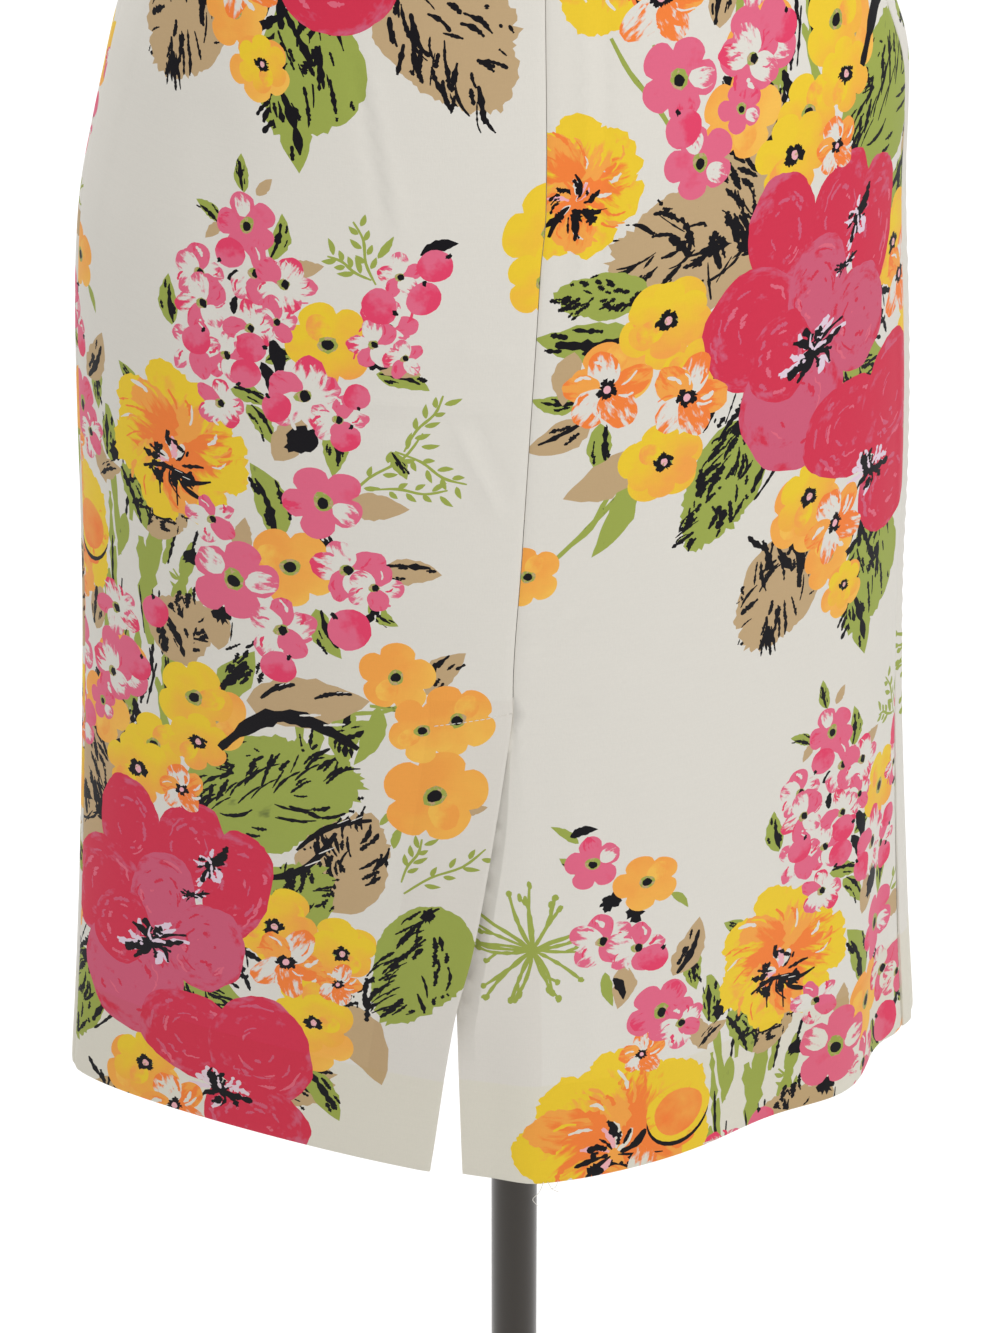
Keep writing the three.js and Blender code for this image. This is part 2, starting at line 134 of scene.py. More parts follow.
# Each fold: its turn at the hem, its turn at its top, its top, its width in degrees, its rise.
FOLDS = [
    (-52, -62, 330, 8, 7),
    (-66, -70, 250, 7, -5),
    (-38, -46, 210, 9, -3),
    (-150, -142, 300, 12, 5),
    (-128, -124, 220, 11, -4),
    (146, 138, 260, 12, 4.5),
    (118, 116, 180, 10, -3),
]
WAIST_SEAM = 616
BAND_TOP = 656
VENT_TOP = 256
UNDERLAP_TOP = 264
HEM_ALLOWANCE = 55
FACING_WIDTH = 38
LEFT_SEAM = 88
RIGHT_SEAM = -75
SEAM_HALF_GAP = 0.06
UNDERLAP_STEP = 3.2
FLAP_OVER_CREASE = 0.3
ZIP_END = 466


def as_table(columns, rows):
    return {name: np.array(values, float) for name, values in zip(columns, zip(*rows))}


SECTIONS = as_table(SECTION_COLUMNS, SECTIONS)
SEAM_LINE = as_table(SEAM_COLUMNS, SEAM_LINE)
VENT_EDGES = as_table(VENT_COLUMNS, VENT_EDGES)


def read_table(table, name, height):
    """A smooth curve through one column of a table, at any heights."""
    at = table["height"]
    values = table[name]
    slopes = np.empty_like(values)
    slopes[1:-1] = (values[2:] - values[:-2]) / (at[2:] - at[:-2])
    slopes[0] = (values[1] - values[0]) / (at[1] - at[0])
    slopes[-1] = (values[-1] - values[-2]) / (at[-1] - at[-2])
    height = np.asarray(height, float)
    lower = np.clip(np.searchsorted(at, height) - 1, 0, len(at) - 2)
    span = at[lower + 1] - at[lower]
    part = np.clip((height - at[lower]) / span, 0, 1)
    squared = part * part
    cubed = squared * part
    return (values[lower] * (2 * cubed - 3 * squared + 1)
            + values[lower + 1] * (3 * squared - 2 * cubed)
            + slopes[lower] * span * (cubed - 2 * squared + part)
            + slopes[lower + 1] * span * (cubed - squared))


def section_size(height):
    left = read_table(SECTIONS, "left", height)
    right = read_table(SECTIONS, "right", height)
    return (left - right) / 2, (left + right) / 2


def plain_outline(turn, height):
    """The section's outline before its folds. turn is in degrees from the centre back."""
    centre, side = section_size(height)
    across = np.sin(np.radians(turn))
    along = np.cos(np.radians(turn))
    pinch = np.where(across > 0, read_table(SECTIONS, "pinch_left", height),
                     read_table(SECTIONS, "pinch_right", height))
    pinch = np.where(along > 0, np.maximum(pinch, 0), 0)
    depth = np.where(along > 0, read_table(SECTIONS, "back", height),
                     read_table(SECTIONS, "front", height))
    x = centre + side * ((1 - pinch) * across + pinch * np.sign(across) * across ** 2)
    y = depth * ((1 - pinch) * along + pinch * along ** 2)
    return np.stack([x, y], -1)


def outward(outline, turn, height):
    """The direction away from the form, level with the floor."""
    run = outline(turn + 0.5, height) - outline(turn - 0.5, height)
    normal = np.stack([-run[..., 1], run[..., 0]], -1)
    return normal / np.linalg.norm(normal, axis=-1, keepdims=True)


def fold_rise(turn, height):
    rise = np.zeros(np.broadcast(turn, height).shape)
    for at_hem, at_top, top, width, size in FOLDS:
        up = np.clip(height / top, 0, 1)
        away = (turn - (at_hem + (at_top - at_hem) * up)) / width
        rise = rise + size * (1 - up) ** 2 * (1 + 2 * up) * np.exp(-away * away)
    return rise


def outline(turn, height):
    plain = plain_outline(turn, height)
    return plain + outward(plain_outline, turn, height) * fold_rise(turn, height)[..., None]


def skin(turn, height, rise=0.0):
    """Points of the skirt in millimetres, moved out from the cloth's outer face."""
    turn = np.asarray(turn, float)
    height = np.asarray(height, float)
    flat = outline(turn, height) + outward(outline, turn, height) * np.asarray(rise)[..., None]
    return np.concatenate([flat, np.broadcast_to(height + HEM, turn.shape)[..., None]], -1)


LEAST_PINCH = 1e-4


def turn_at(distance, height):
    """The turn at which the back of a section stands a distance from the pole's axis."""
    centre, side = section_size(height)
    share = (distance - centre) / side
    pinch = np.where(share > 0, read_table(SECTIONS, "pinch_left", height),
                     read_table(SECTIONS, "pinch_right", height))
    pinch = np.maximum(pinch, LEAST_PINCH)
    plain = 1 - pinch
    sine = (np.sqrt(plain ** 2 + 4 * pinch * np.abs(share)) - plain) / (2 * pinch)
    return np.degrees(np.arcsin(np.clip(sine, -1, 1))) * np.sign(share)


def crease_at(height):
    return read_table(SEAM_LINE, "across", height)


def flap_at(height):
    height = np.asarray(height, float)
    sewn = crease_at(height) + FLAP_OVER_CREASE
    return np.where(height >= VENT_TOP, sewn, read_table(VENT_EDGES, "flap", height))


def underlap_at(height):
    return read_table(VENT_EDGES, "underlap", np.minimum(height, UNDERLAP_TOP))


hips = outline(np.arange(-180, 180.0), np.full(360, 402.0))
hip_girth = np.linalg.norm(np.roll(hips, -1, 0) - hips, axis=1).sum()
print("hips measure", round(hip_girth), "mm round")

# %% [markdown]
# ## Paints
# The print is screen-printed in a few flat colours. Each shape of the print has two of them:
# its own colour, and a second one that is dragged over it with a nearly dry brush. A colour is
# picked as it looks on a screen and turned into linear light, which the renderer works in.

# %% Colours of the print
def paint(red, green, blue):
    """A screen colour, 0 to 255, as linear light."""
    channels = np.array([red, green, blue]) / 255
    bright = ((channels + 0.055) / 1.055) ** 2.4
    return tuple(np.where(channels > 0.04045, bright, channels / 12.92))


CREAM = paint(224, 220, 211)
REVERSE = paint(212, 208, 197)
ROSE = paint(226, 104, 134)
DEEP_ROSE = paint(228, 66, 104)
PALE_ROSE = paint(238, 176, 186)
CRIMSON = paint(212, 50, 78)
DUSTY_CRIMSON = paint(208, 92, 120)
YELLOW = paint(238, 202, 50)
AMBER = paint(244, 164, 74)
LIGHT_AMBER = paint(246, 190, 84)
ORANGE = paint(245, 130, 58)
OLIVE = paint(156, 168, 78)
DARK_OLIVE = paint(112, 122, 62)
TAN = paint(192, 164, 124)
INK = paint(14, 11, 17)
LILAC = paint(226, 206, 220)
SWIRL = paint(222, 104, 126)
print("colours of the print: 15 on a cream ground, and one for the back of the cloth")

# %% [markdown]
# ## Brush marks
# A motif is built from closed outlines in its own millimetres. Ovals, lobed flowers, leaves
# and tapered strokes are worked out by short formulas, with a small seeded wobble so that
# no two marks are alike. A shape also carries the place and size of its brush streaks.

# %% Turned points and round outlines
def turned(points, angle, x, y):
    """Points of a motif, turned by an angle and moved to (x, y)."""
    cosine, sine = math.cos(angle), math.sin(angle)
    points = np.asarray(points, float)
    return np.stack([x + points[:, 0] * cosine - points[:, 1] * sine,
                     y + points[:, 0] * sine + points[:, 1] * cosine], -1)


def turned_point(right, up, angle, x, y):
    return turned([(right, up)], angle, x, y)[0]


def away_from(x, y, reach, way):
    """The point that lies at a reach from (x, y), in the direction of way."""
    return x + reach * math.cos(way), y + reach * math.sin(way)


def wobble(rng, angles, amount):
    """A factor near 1 that swells and shrinks a few times on the way round."""
    wave = np.zeros_like(angles)
    for turns in (2, 3, 5, 8):
        wave = wave + rng.uniform(-1, 1) * np.cos(turns * angles + rng.uniform(0, 6.3)) / turns ** 0.5
    return 1 + amount * wave


def oval(rng, x, y, wide, high, angle=0.0, rough=0.05, count=26, tooth=0.0):
    """A wobbly oval; a tooth above 0 gives it torn, brushed-out edges."""
    angles = np.linspace(0, 2 * math.pi, count, endpoint=False)
    reach = wobble(rng, angles, rough)
    if tooth:
        reach = reach * np.array([1 - tooth * rng.random() ** 2 for _ in angles])
    points = np.stack([wide / 2 * np.cos(angles) * reach, high / 2 * np.sin(angles) * reach], -1)
    return turned(points, angle, x, y)


def ragged(rng, x, y, wide, high, angle, tooth, count):
    return oval(rng, x, y, wide, high, angle, 0.08, count, tooth)


LOBE_POINTS = 11


def lobed(rng, x, y, size, lobes, depth=0.3, angle=0.0, squash=1.0, rough=0.03):
    """A flower's outline: round petals that meet in narrow notches."""
    angles = np.linspace(0, 2 * math.pi, lobes * LOBE_POINTS, endpoint=False)
    sizes = [rng.uniform(0.86, 1.08) for _ in range(lobes)]
    which = np.floor(angles * lobes / (2 * math.pi)).astype(int) % lobes
    swell = np.abs(np.sin(lobes * angles / 2)) ** 0.55
    petals = 1 - depth + depth * swell * np.array(sizes)[which]
    reach = size / 2 * petals * wobble(rng, angles, rough)
    points = np.stack([reach * np.cos(angles), squash * reach * np.sin(angles)], -1)
    return turned(points, angle, x, y)


print("a plain oval has", len(oval(random.Random(1), 0, 0, 10, 8)), "corners")


# %% Torn edges, leaf blades and brush strokes
LONG_TOOTH_SHARE = 0.16
LONG_TOOTH = 2.6


def torn(rng, points, tear, step=1.4):
    """Roughen a closed outline; tear gives the depth of the teeth at each of its corners."""
    points = np.asarray(points, float)
    ahead = np.roll(points, -1, 0)
    next_tear = np.roll(tear, -1)
    rough = []
    for start, end, first, last in zip(points, ahead, tear, next_tear):
        run = end - start
        length = max(np.hypot(*run), 1e-6)
        aside = np.array([run[1], -run[0]]) / length
        pieces = max(1, int(length / step))
        for piece in range(pieces):
            part = piece / pieces
            tooth = (first + (last - first) * part) * rng.uniform(-1, 1)
            if rng.random() < LONG_TOOTH_SHARE:
                tooth *= LONG_TOOTH
            rough.append(start + run * part + aside * tooth)
    return np.array(rough)


def midrib(length, along, bend):
    return bend * length * along * (1 - along) * 2


def blade(rng, x, y, length, width, angle, bend, rough=0.06):
    """A leaf from its stalk at (x, y) to a pointed tip."""
    along = np.linspace(0, 1, 14)
    half = width / 2 * np.sin(math.pi * along ** 0.8) ** 0.85
    middle = midrib(length, along, bend)
    upper, lower = ([(length * a, m + side * h * rng.uniform(1 - rough, 1 + rough))
                     for a, m, h in zip(along, middle, half)] for side in (1, -1))
    return turned(upper + lower[-2:0:-1], angle, x, y)


def smooth_between(points, whole, part):
    """A smooth curve through given points: where it is a part of the way past a whole number."""
    before, after = points[np.maximum(whole - 1, 0)], points[np.minimum(whole + 2, len(points) - 1)]
    start, end = points[whole], points[whole + 1]
    return 0.5 * (2 * start + (end - before) * part
                  + (2 * before - 5 * start + 4 * end - after) * part ** 2
                  + (3 * start - before - 3 * end + after) * part ** 3)


def stroke(rng, points, width, taper=0.25, rough=0.18):
    """A brush stroke along a few points, thick in the middle and thin at its ends."""
    points = np.array(points, float)
    along = np.linspace(0, len(points) - 1, 4 * len(points) - 3)
    whole = np.minimum(along.astype(int), len(points) - 2)
    path = smooth_between(points, whole, (along - whole)[:, None])
    run = np.gradient(path, axis=0)
    aside = np.stack([-run[:, 1], run[:, 0]], -1) / np.linalg.norm(run, axis=1)[:, None]
    ends = np.sin(math.pi * np.linspace(0.04, 0.96, len(path))) ** 0.6
    half = width / 2 * (taper + (1 - taper) * ends)
    half = half * np.array([rng.uniform(1 - rough, 1 + rough) for _ in half])
    return np.concatenate([path + aside * half[:, None], (path - aside * half[:, None])[::-1]])


sample = stroke(random.Random(1), [(0, 0), (4, 1), (8, 0)], 2)
print("a stroke through 3 points has", len(sample), "corners")


# %% A sheet of paper that collects the painted shapes
# Brush streaks run out from a shape's middle, or straight along it.
RADIAL = 1.0
STRAIGHT = 0.0


class Drawing:
    """Painted shapes in order, the last on top.

    A shape's cover says how much of its second colour there is where its streaks start and
    where they end. Grain is how fine the streaks are across and along, soft how blurred they
    are, and place their middle, size and angle.
    """

    def __init__(self):
        self.shapes = []

    def add(self, points, colour, second=None, cover=(0.0, 0.0), grain=(2.0, 2.0), soft=0.03,
            mode=STRAIGHT, place=None):
        points = np.asarray(points, float)
        if place is None:
            middle = (points.max(0) + points.min(0)) / 2
            place = (middle[0], middle[1], float(np.ptp(points, axis=0).max()) / 2, 0.0)
        self.shapes.append(dict(points=points, colour=colour, second=second or colour, cover=cover,
                                grain=grain, soft=soft, mode=mode, place=place))


# %% [markdown]
# ## Motifs
# Each kind of flower or leaf is one function. It takes a place, a size in millimetres and a
# turn in degrees, and adds its shapes to the drawing from the back to the front.

# %% Ink: blots and fans of dry-brush strokes
STROKE_PARTS = (0, 0.35, 0.7, 1)


def blot(draw, rng, x, y, size, turn):
    draw.add(ragged(rng, x, y, size, 0.72 * size, math.radians(turn), 0.5, 26), INK)


def ink_fan(draw, rng, x, y, size, turn, count):
    """Strokes of a nearly dry brush that spread from one side of a patch."""
    angle = math.radians(turn)
    for number in range(int(1.5 * count)):
        lean = math.radians(turn + rng.uniform(-30, 30))
        start = rng.uniform(-0.55, 0.2) * size
        reach = size * rng.uniform(0.12, 0.55)
        aside = ((number + 0.5) / (1.5 * count) - 0.5) * size * 0.9
        foot = away_from(x - aside * math.sin(angle), y + aside * math.cos(angle), start, lean)
        curl = rng.uniform(-0.3, 0.3)
        path = [away_from(*foot, reach * part, lean + curl * part) for part in STROKE_PARTS]
        draw.add(stroke(rng, path, size * rng.uniform(0.03, 0.1), 0.12, 0.55), INK)
    dabs(draw, rng, x, y, size, 0.8 * size, turn, count // 2)


def comb(draw, rng, x, y, wide, high, turn, count, side=1):
    """Curved strokes that run off one side of a leaf's midrib, closest near its stalk."""
    for _ in range(count):
        along = rng.random() ** 1.3 * 0.9
        reach = breadth(along) * high / 2
        start = rng.uniform(0, 0.62) * reach
        length = rng.uniform(0.1, 0.3) * high
        lean = math.radians(rng.uniform(28, 52))
        curl = rng.uniform(-0.5, 0.1)
        path = [((along - 0.5) * wide + length * part * math.cos(lean + curl * part),
                 side * min(start + length * part * math.sin(lean + curl * part), 0.96 * reach))
                for part in STROKE_PARTS]
        path = turned(path, math.radians(turn), x, y)
        draw.add(stroke(rng, path, rng.uniform(0.8, 2.6), 0.1, 0.45), INK)


def dabs(draw, rng, x, y, wide, high, turn, count):
    """Small separate dabs inside an oval patch."""
    for _ in range(count):
        reach, way = rng.random() ** 0.6 / 2, rng.uniform(0, 2 * math.pi)
        at = turned_point(wide * reach * math.cos(way), high * reach * math.sin(way),
                          math.radians(turn), x, y)
        lean = math.radians(turn + rng.uniform(-40, 40))
        run = rng.uniform(1.2, 4.5) * np.array((math.cos(lean), math.sin(lean)))
        draw.add(stroke(rng, [at, at + 0.5 * run, at + run], rng.uniform(0.7, 2.0), 0.3, 0.5), INK)


def crescent(draw, rng, x, y, to_x, to_y, sag, width):
    """A long curved brush stroke between two ends, thickest before its middle."""
    start, run = np.array([x, y]), np.array([to_x - x, to_y - y])
    aside = np.array([-run[1], run[0]]) / np.hypot(*run)
    path = [start + run * part + aside * sag * math.sin(math.pi * part)
            for part in (0, 0.2, 0.4, 0.6, 0.8, 1)]
    draw.add(stroke(rng, path, width, 0.1, 0.3), INK)
    for part in (0.62, 0.78):
        at = start + run * part + aside * (sag * math.sin(math.pi * part) + 0.2 * width)
        draw.add(stroke(rng, [at, at + 0.07 * run, at + 0.15 * run], 0.16 * width, 0.2, 0.4), CREAM)


print("ink marks: blots, fans, combs, dabs and crescents")


# %% Parts that flowers share
def streak(draw, rng, x, y, size, way, steps, width, taper, rough, colour):
    """A brush streak outwards. Each step is a reach, in flower sizes like the width, and a bend."""
    path = [away_from(x, y, reach * size, way + bend) for reach, bend in steps]
    draw.add(stroke(rng, path, width * size, taper, rough), colour)


def ink_ring(draw, rng, x, y, size, depth, turn):
    """The ragged black ring in the middle of a flower."""
    ring = lobed(rng, x, y, size, 5, depth, math.radians(turn), 0.9, 0.2)
    draw.add(torn(rng, ring, [0.5] * len(ring)), INK)


def brushed_petals(draw, rng, x, y, size, turn, colours, spread=0.27, wide=0.5, high=0.4):
    """Five petals round a heart, each brushed with its second colour from the rim inwards."""
    for lobe in range(5):
        way = math.radians(turn + 72 * lobe + rng.uniform(-12, 12))
        middle = away_from(x, y, spread * rng.uniform(0.85, 1.12) * size, way)
        petal_wide = wide * size * rng.uniform(0.85, 1.1)
        petal_high = high * size * rng.uniform(0.8, 1.1)
        draw.add(oval(rng, *middle, petal_wide, petal_high, way, 0.1, 24), *colours[lobe % len(colours)],
                 (1.1, 3.6), 0.05, STRAIGHT, (*middle, wide / 2 * size, way))


print("parts of flowers: streaks, rings and brushed petals")


# %% Rose, sunny and ringed flowers
def rose_flower(draw, rng, x, y, size, turn):
    """A flat rose flower with one or two paler or deeper petals."""
    angle = math.radians(turn)
    rim = lobed(rng, x, y, size, 5, 0.34, angle, rng.uniform(0.88, 1.04), 0.05)
    draw.add(rim, ROSE, DEEP_ROSE, (0.0, 0.22), (1.4, 1.4), 0.12)
    for lobe in rng.sample(range(5), 2):
        way = angle + math.radians(72 * lobe + 36)
        middle = away_from(x, y, 0.3 * size, way)
        colours = (CREAM, ROSE) if lobe % 3 == 1 else (ROSE, DEEP_ROSE)
        draw.add(oval(rng, *middle, 0.34 * size, 0.26 * size, way, 0.12, 20), *colours,
                 (0.0, 0.75), (1.1, 3.2), 0.05, STRAIGHT, (*middle, 0.17 * size, way))
    draw.add(oval(rng, x, y, 0.22 * size, 0.25 * size, angle, 0.14, 16), OLIVE, TAN, (0.4, 0.4))
    draw.add(oval(rng, x, y - 0.02 * size, 0.13 * size, 0.15 * size, angle, 0.12, 12), INK)


def sunny_flower(draw, rng, x, y, size, turn, colour=YELLOW, second=AMBER, lobes=5):
    """A flat flower whose colour is shaded softly from one side to the other."""
    angle = math.radians(turn)
    draw.add(lobed(rng, x, y, size, lobes, 0.27, angle, rng.uniform(0.88, 1.08)), colour, second,
             (-0.1, 0.85), (0.6, 0.6), 0.2, STRAIGHT, (x, y, size / 2, math.radians(turn - 70)))
    way = angle + rng.uniform(0, 6)
    patch = oval(rng, *away_from(x, y, 0.22 * size, way), 0.34 * size, 0.28 * size, way, 0.06, 18)
    draw.add(patch, colour, second, (0.9, 0.1), (1, 1), 0.15)
    draw.add(oval(rng, x, y, 0.23 * size, 0.2 * size, angle, 0.14, 16), OLIVE, TAN, (0.4, 0.5))
    draw.add(oval(rng, x, y, 0.14 * size, 0.13 * size, angle, 0.1, 12), INK)


def ringed_flower(draw, rng, x, y, size, turn):
    """A yellow flower with a ragged black ring and a pink dot."""
    sunny_flower(draw, rng, x, y, size, turn, YELLOW, AMBER, 6)
    ink_ring(draw, rng, x, y, 0.28 * size, 0.3, turn)
    dot = oval(rng, x + 0.01 * size, y, 0.09 * size, 0.11 * size, 0.4, 0.2, 10)
    draw.add(dot, PALE_ROSE, TAN, (0.4, 0.4))


def amber_flower(draw, rng, x, y, size, turn):
    sunny_flower(draw, rng, x, y, size, turn, AMBER, LIGHT_AMBER)


print("flat flowers: rose, sunny, ringed, amber")


# %% Brushed flowers and blossoms
# A petal's own colour, its second colour, and how much the second covers from heart to rim.
ORANGE_WHITE_PETALS = [
    (ORANGE, AMBER, (0.1, 0.7)), (CREAM, ORANGE, (-0.1, 0.8)), (AMBER, ORANGE, (0.1, 0.6)),
    (CREAM, ORANGE, (0.0, 0.7)), (ORANGE, CREAM, (0.2, 0.5)),
]
WHITE_PETAL = (CREAM, ROSE, (-0.25, 0.8))
ROSY_PETAL = (ROSE, DEEP_ROSE, (0.0, 0.4))
DEEP_PETAL = (CREAM, DEEP_ROSE, (-0.1, 0.85))
BLOSSOM_PETALS = [(WHITE_PETAL, DEEP_PETAL, ROSY_PETAL), (ROSY_PETAL, WHITE_PETAL, DEEP_PETAL),
                  (WHITE_PETAL, ROSY_PETAL, WHITE_PETAL)]


def orange_white_flower(draw, rng, x, y, size, turn):
    """White petals brushed with orange round a black ring."""
    brushed_petals(draw, rng, x, y, size, turn, ORANGE_WHITE_PETALS)
    for number in range(9):
        way = math.radians(turn + 40 * number + rng.uniform(-15, 15))
        near = rng.uniform(0.14, 0.26)
        steps = ((near, 0), (near + 0.09, 0.1), (near + rng.uniform(0.14, 0.22), 0.3))
        streak(draw, rng, x, y, size, way, steps, rng.uniform(0.02, 0.06), 0.2, 0.4,
               (CREAM, ORANGE, CREAM)[number % 3])
    ink_ring(draw, rng, x, y, 0.26 * size, 0.35, turn)
    draw.add(oval(rng, x, y, 0.09 * size, 0.1 * size, 0, 0.1, 9), PALE_ROSE)


def blossom(draw, rng, x, y, size, turn):
    """A small pink and white flower of a cluster, its edges brushed in rose."""
    brushed_petals(draw, rng, x, y, size, turn, BLOSSOM_PETALS[int(turn) % 3], 0.28, 0.52, 0.42)
    for number in range(6):
        way = math.radians(turn + 60 * number + rng.uniform(-20, 20))
        near = rng.uniform(0.2, 0.34)
        steps = ((near, 0), (near + 0.08, 0.12), (near + rng.uniform(0.12, 0.2), 0.34))
        streak(draw, rng, x, y, size, way, steps, rng.uniform(0.025, 0.07), 0.15, 0.5,
               (DEEP_ROSE, CREAM, ROSE)[number % 3])
    angle = math.radians(turn)
    draw.add(oval(rng, x, y, 0.22 * size, 0.18 * size, angle, 0.16, 12), OLIVE, TAN, (0.5, 0.5))
    draw.add(ragged(rng, x + 0.03 * size, y, 0.15 * size, 0.18 * size, angle, 0.3, 12), INK)


def ball(draw, rng, x, y, size, turn):
    """A round rose petal that hides the rest of its flower."""
    draw.add(oval(rng, x, y, size, 0.92 * size, math.radians(turn), 0.05, 20), ROSE, DEEP_ROSE,
             (0.0, 0.95), (0.8, 0.8), 0.08, STRAIGHT, (x, y, size / 2, math.radians(turn - 90)))
    way = math.radians(turn + 40)
    foot = away_from(x, y, 0.44 * size, way)
    draw.add(ragged(rng, *foot, 0.22 * size, 0.16 * size, way, 0.5, 12), INK)


def orange_ball(draw, rng, x, y, size, turn):
    """A cupped orange petal with a pale rim and a black shadow under it."""
    angle = math.radians(turn)
    draw.add(oval(rng, x, y - 0.08 * size, 1.08 * size, size, angle, 0.04, 24), INK)
    draw.add(oval(rng, x, y, 1.1 * size, size, angle, 0.05, 26), YELLOW, ORANGE, (0.3, 0.3), (4, 2),
             0.05, RADIAL)
    draw.add(oval(rng, x, y, 0.84 * size, 0.78 * size, angle, 0.05, 26), ORANGE, AMBER, (0.15, 0.7),
             (1.2, 1.2), 0.2, STRAIGHT, (x, y, size / 2, angle + 1.2))


print("brushed flowers: orange and white, blossom, ball, orange ball")


# %% Large yellow flower
BIG_PETAL_COLOURS = ((ORANGE, YELLOW), (AMBER, YELLOW), (ORANGE, AMBER))
BIG_STREAK_COLOURS = (ORANGE, YELLOW, ORANGE, CREAM, AMBER)


def big_flower(draw, rng, x, y, size, turn):
    """A wide yellow flower with frilled petals, brushed with orange from the middle outwards."""
    angle = math.radians(turn)
    rim = lobed(rng, x, y, size, 7, 0.26, angle, 1.08, 0.07)
    draw.add(torn(rng, rim, [0.8] * len(rim)), YELLOW, AMBER, (0.9, 0.1), (3, 3), 0.1, RADIAL,
             (x, y, size / 2, 0.0))
    for lobe in range(7):
        way = angle + math.radians(51 * lobe + rng.uniform(-10, 10))
        middle = away_from(x, y, rng.uniform(0.22, 0.28) * size, way)
        patch = oval(rng, *middle, 0.42 * size, rng.uniform(0.2, 0.32) * size, way, 0.12, 26)
        draw.add(torn(rng, patch, [0.7] * len(patch)), *BIG_PETAL_COLOURS[lobe % 3], (-0.1, 0.95),
                 (1.0, 4.5), 0.06, STRAIGHT, (*middle, 0.21 * size, way))
        for colour in BIG_STREAK_COLOURS:
            lean = way + rng.uniform(-0.42, 0.42)
            near = rng.uniform(0.14, 0.36)
            steps = ((near, 0), (near + 0.05, 0.06), (near + rng.uniform(0.07, 0.13), 0.2))
            streak(draw, rng, x, y, size, lean, steps, rng.uniform(0.012, 0.03), 0.15, 0.5, colour)
    heart = (x - 0.02 * size, y - 0.11 * size)
    for number in range(9):
        way = math.radians(rng.uniform(30, 230))
        near = rng.uniform(0.02, 0.06)
        steps = ((near, 0), (near + 0.07, 0.1), (near + rng.uniform(0.1, 0.16), 0.3))
        streak(draw, rng, *heart, size, way, steps, rng.uniform(0.025, 0.05), 0.2, 0.4,
               (CREAM, PALE_ROSE, ORANGE)[number % 3])
    for number in range(20):
        way = math.radians(turn + 18 * number + rng.uniform(-14, 14))
        below = 1.25 if math.sin(way) < 0 else 0.9
        near, far = rng.uniform(0.02, 0.12), rng.uniform(0.13, 0.24) * below
        steps = ((near, 0), ((near + far) / 2, 0.12), (far, rng.uniform(0.0, 0.5)))
        streak(draw, rng, *heart, size, way, steps, rng.uniform(0.012, 0.04), 0.2, 0.55, INK)
    for aside in (-0.1, 0.02, 0.12):
        blot(draw, rng, heart[0] + aside * size, heart[1] - rng.uniform(0.07, 0.12) * size,
             rng.uniform(0.09, 0.14) * size, rng.uniform(0, 180))


print("large flower:", len(BIG_STREAK_COLOURS), "streaks to a petal")


# %% Poppy petals and stamens
def stamens(draw, rng, x, y, size, count, turn):
    """Black and pale brush flecks that point outwards, the longest along the turn."""
    angle = math.radians(turn)

    def fleck(near, far, width, colour):
        way = rng.uniform(0, 2 * math.pi)
        stretch = 0.75 + 0.5 * abs(math.cos(way))
        steps = ((near, 0), ((near + far) / 2, 0.12), (far, rng.uniform(-0.3, 0.4)))
        path = [(size * stretch * reach * math.cos(way + bend), size * 0.8 * reach * math.sin(way + bend))
                for reach, bend in steps]
        draw.add(stroke(rng, turned(path, angle, x, y), width * size, 0.2, 0.55), colour)

    for _ in range(count):
        fleck(rng.uniform(0.05, 0.25), rng.uniform(0.32, 0.56), rng.uniform(0.06, 0.11), LILAC)
    blot(draw, rng, x, y, 0.4 * size, turn)
    for _ in range(count + 4):
        fleck(rng.uniform(0.02, 0.2), rng.uniform(0.26, 0.52), rng.uniform(0.05, 0.13), INK)
    for _ in range(count // 3):
        fleck(rng.uniform(0.0, 0.15), rng.uniform(0.15, 0.35), 0.05, LILAC)


def petal(draw, rng, x, y, wide, high, turn, shade=0):
    """One crimson petal with curled brush marks that follow its rim."""
    colours = ((CRIMSON, DUSTY_CRIMSON), (DUSTY_CRIMSON, CRIMSON))[shade]
    angle = math.radians(turn)
    rim = oval(rng, x, y, wide, high, angle, 0.07, 60)
    draw.add(torn(rng, rim, [0.25] * len(rim), 2.0), *colours, (0.0, 0.42), (2.0, 4.5), 0.06,
             RADIAL, (x, y, max(wide, high) / 2, 0.0))
    for number in range(15):
        way = rng.uniform(0, 2 * math.pi)
        reach = rng.uniform(0.15, 0.8)
        radius = rng.uniform(0.12, 0.42)
        path = turned([(radius * (1 + 0.07 * rng.uniform(-1, 1)) * wide * math.cos(way + reach * part),
                        radius * high * math.sin(way + reach * part)) for part in (0, 0.25, 0.5, 0.75, 1)],
                      angle, x, y)
        draw.add(stroke(rng, path, rng.uniform(0.7, 2.2), 0.15, 0.5),
                 (colours[1], colours[1], SWIRL)[number % 3])


print("a poppy: petals with curled marks, and stamens")


# %% Leaves
LEAF_SECOND = {OLIVE: DARK_OLIVE, TAN: TAN}


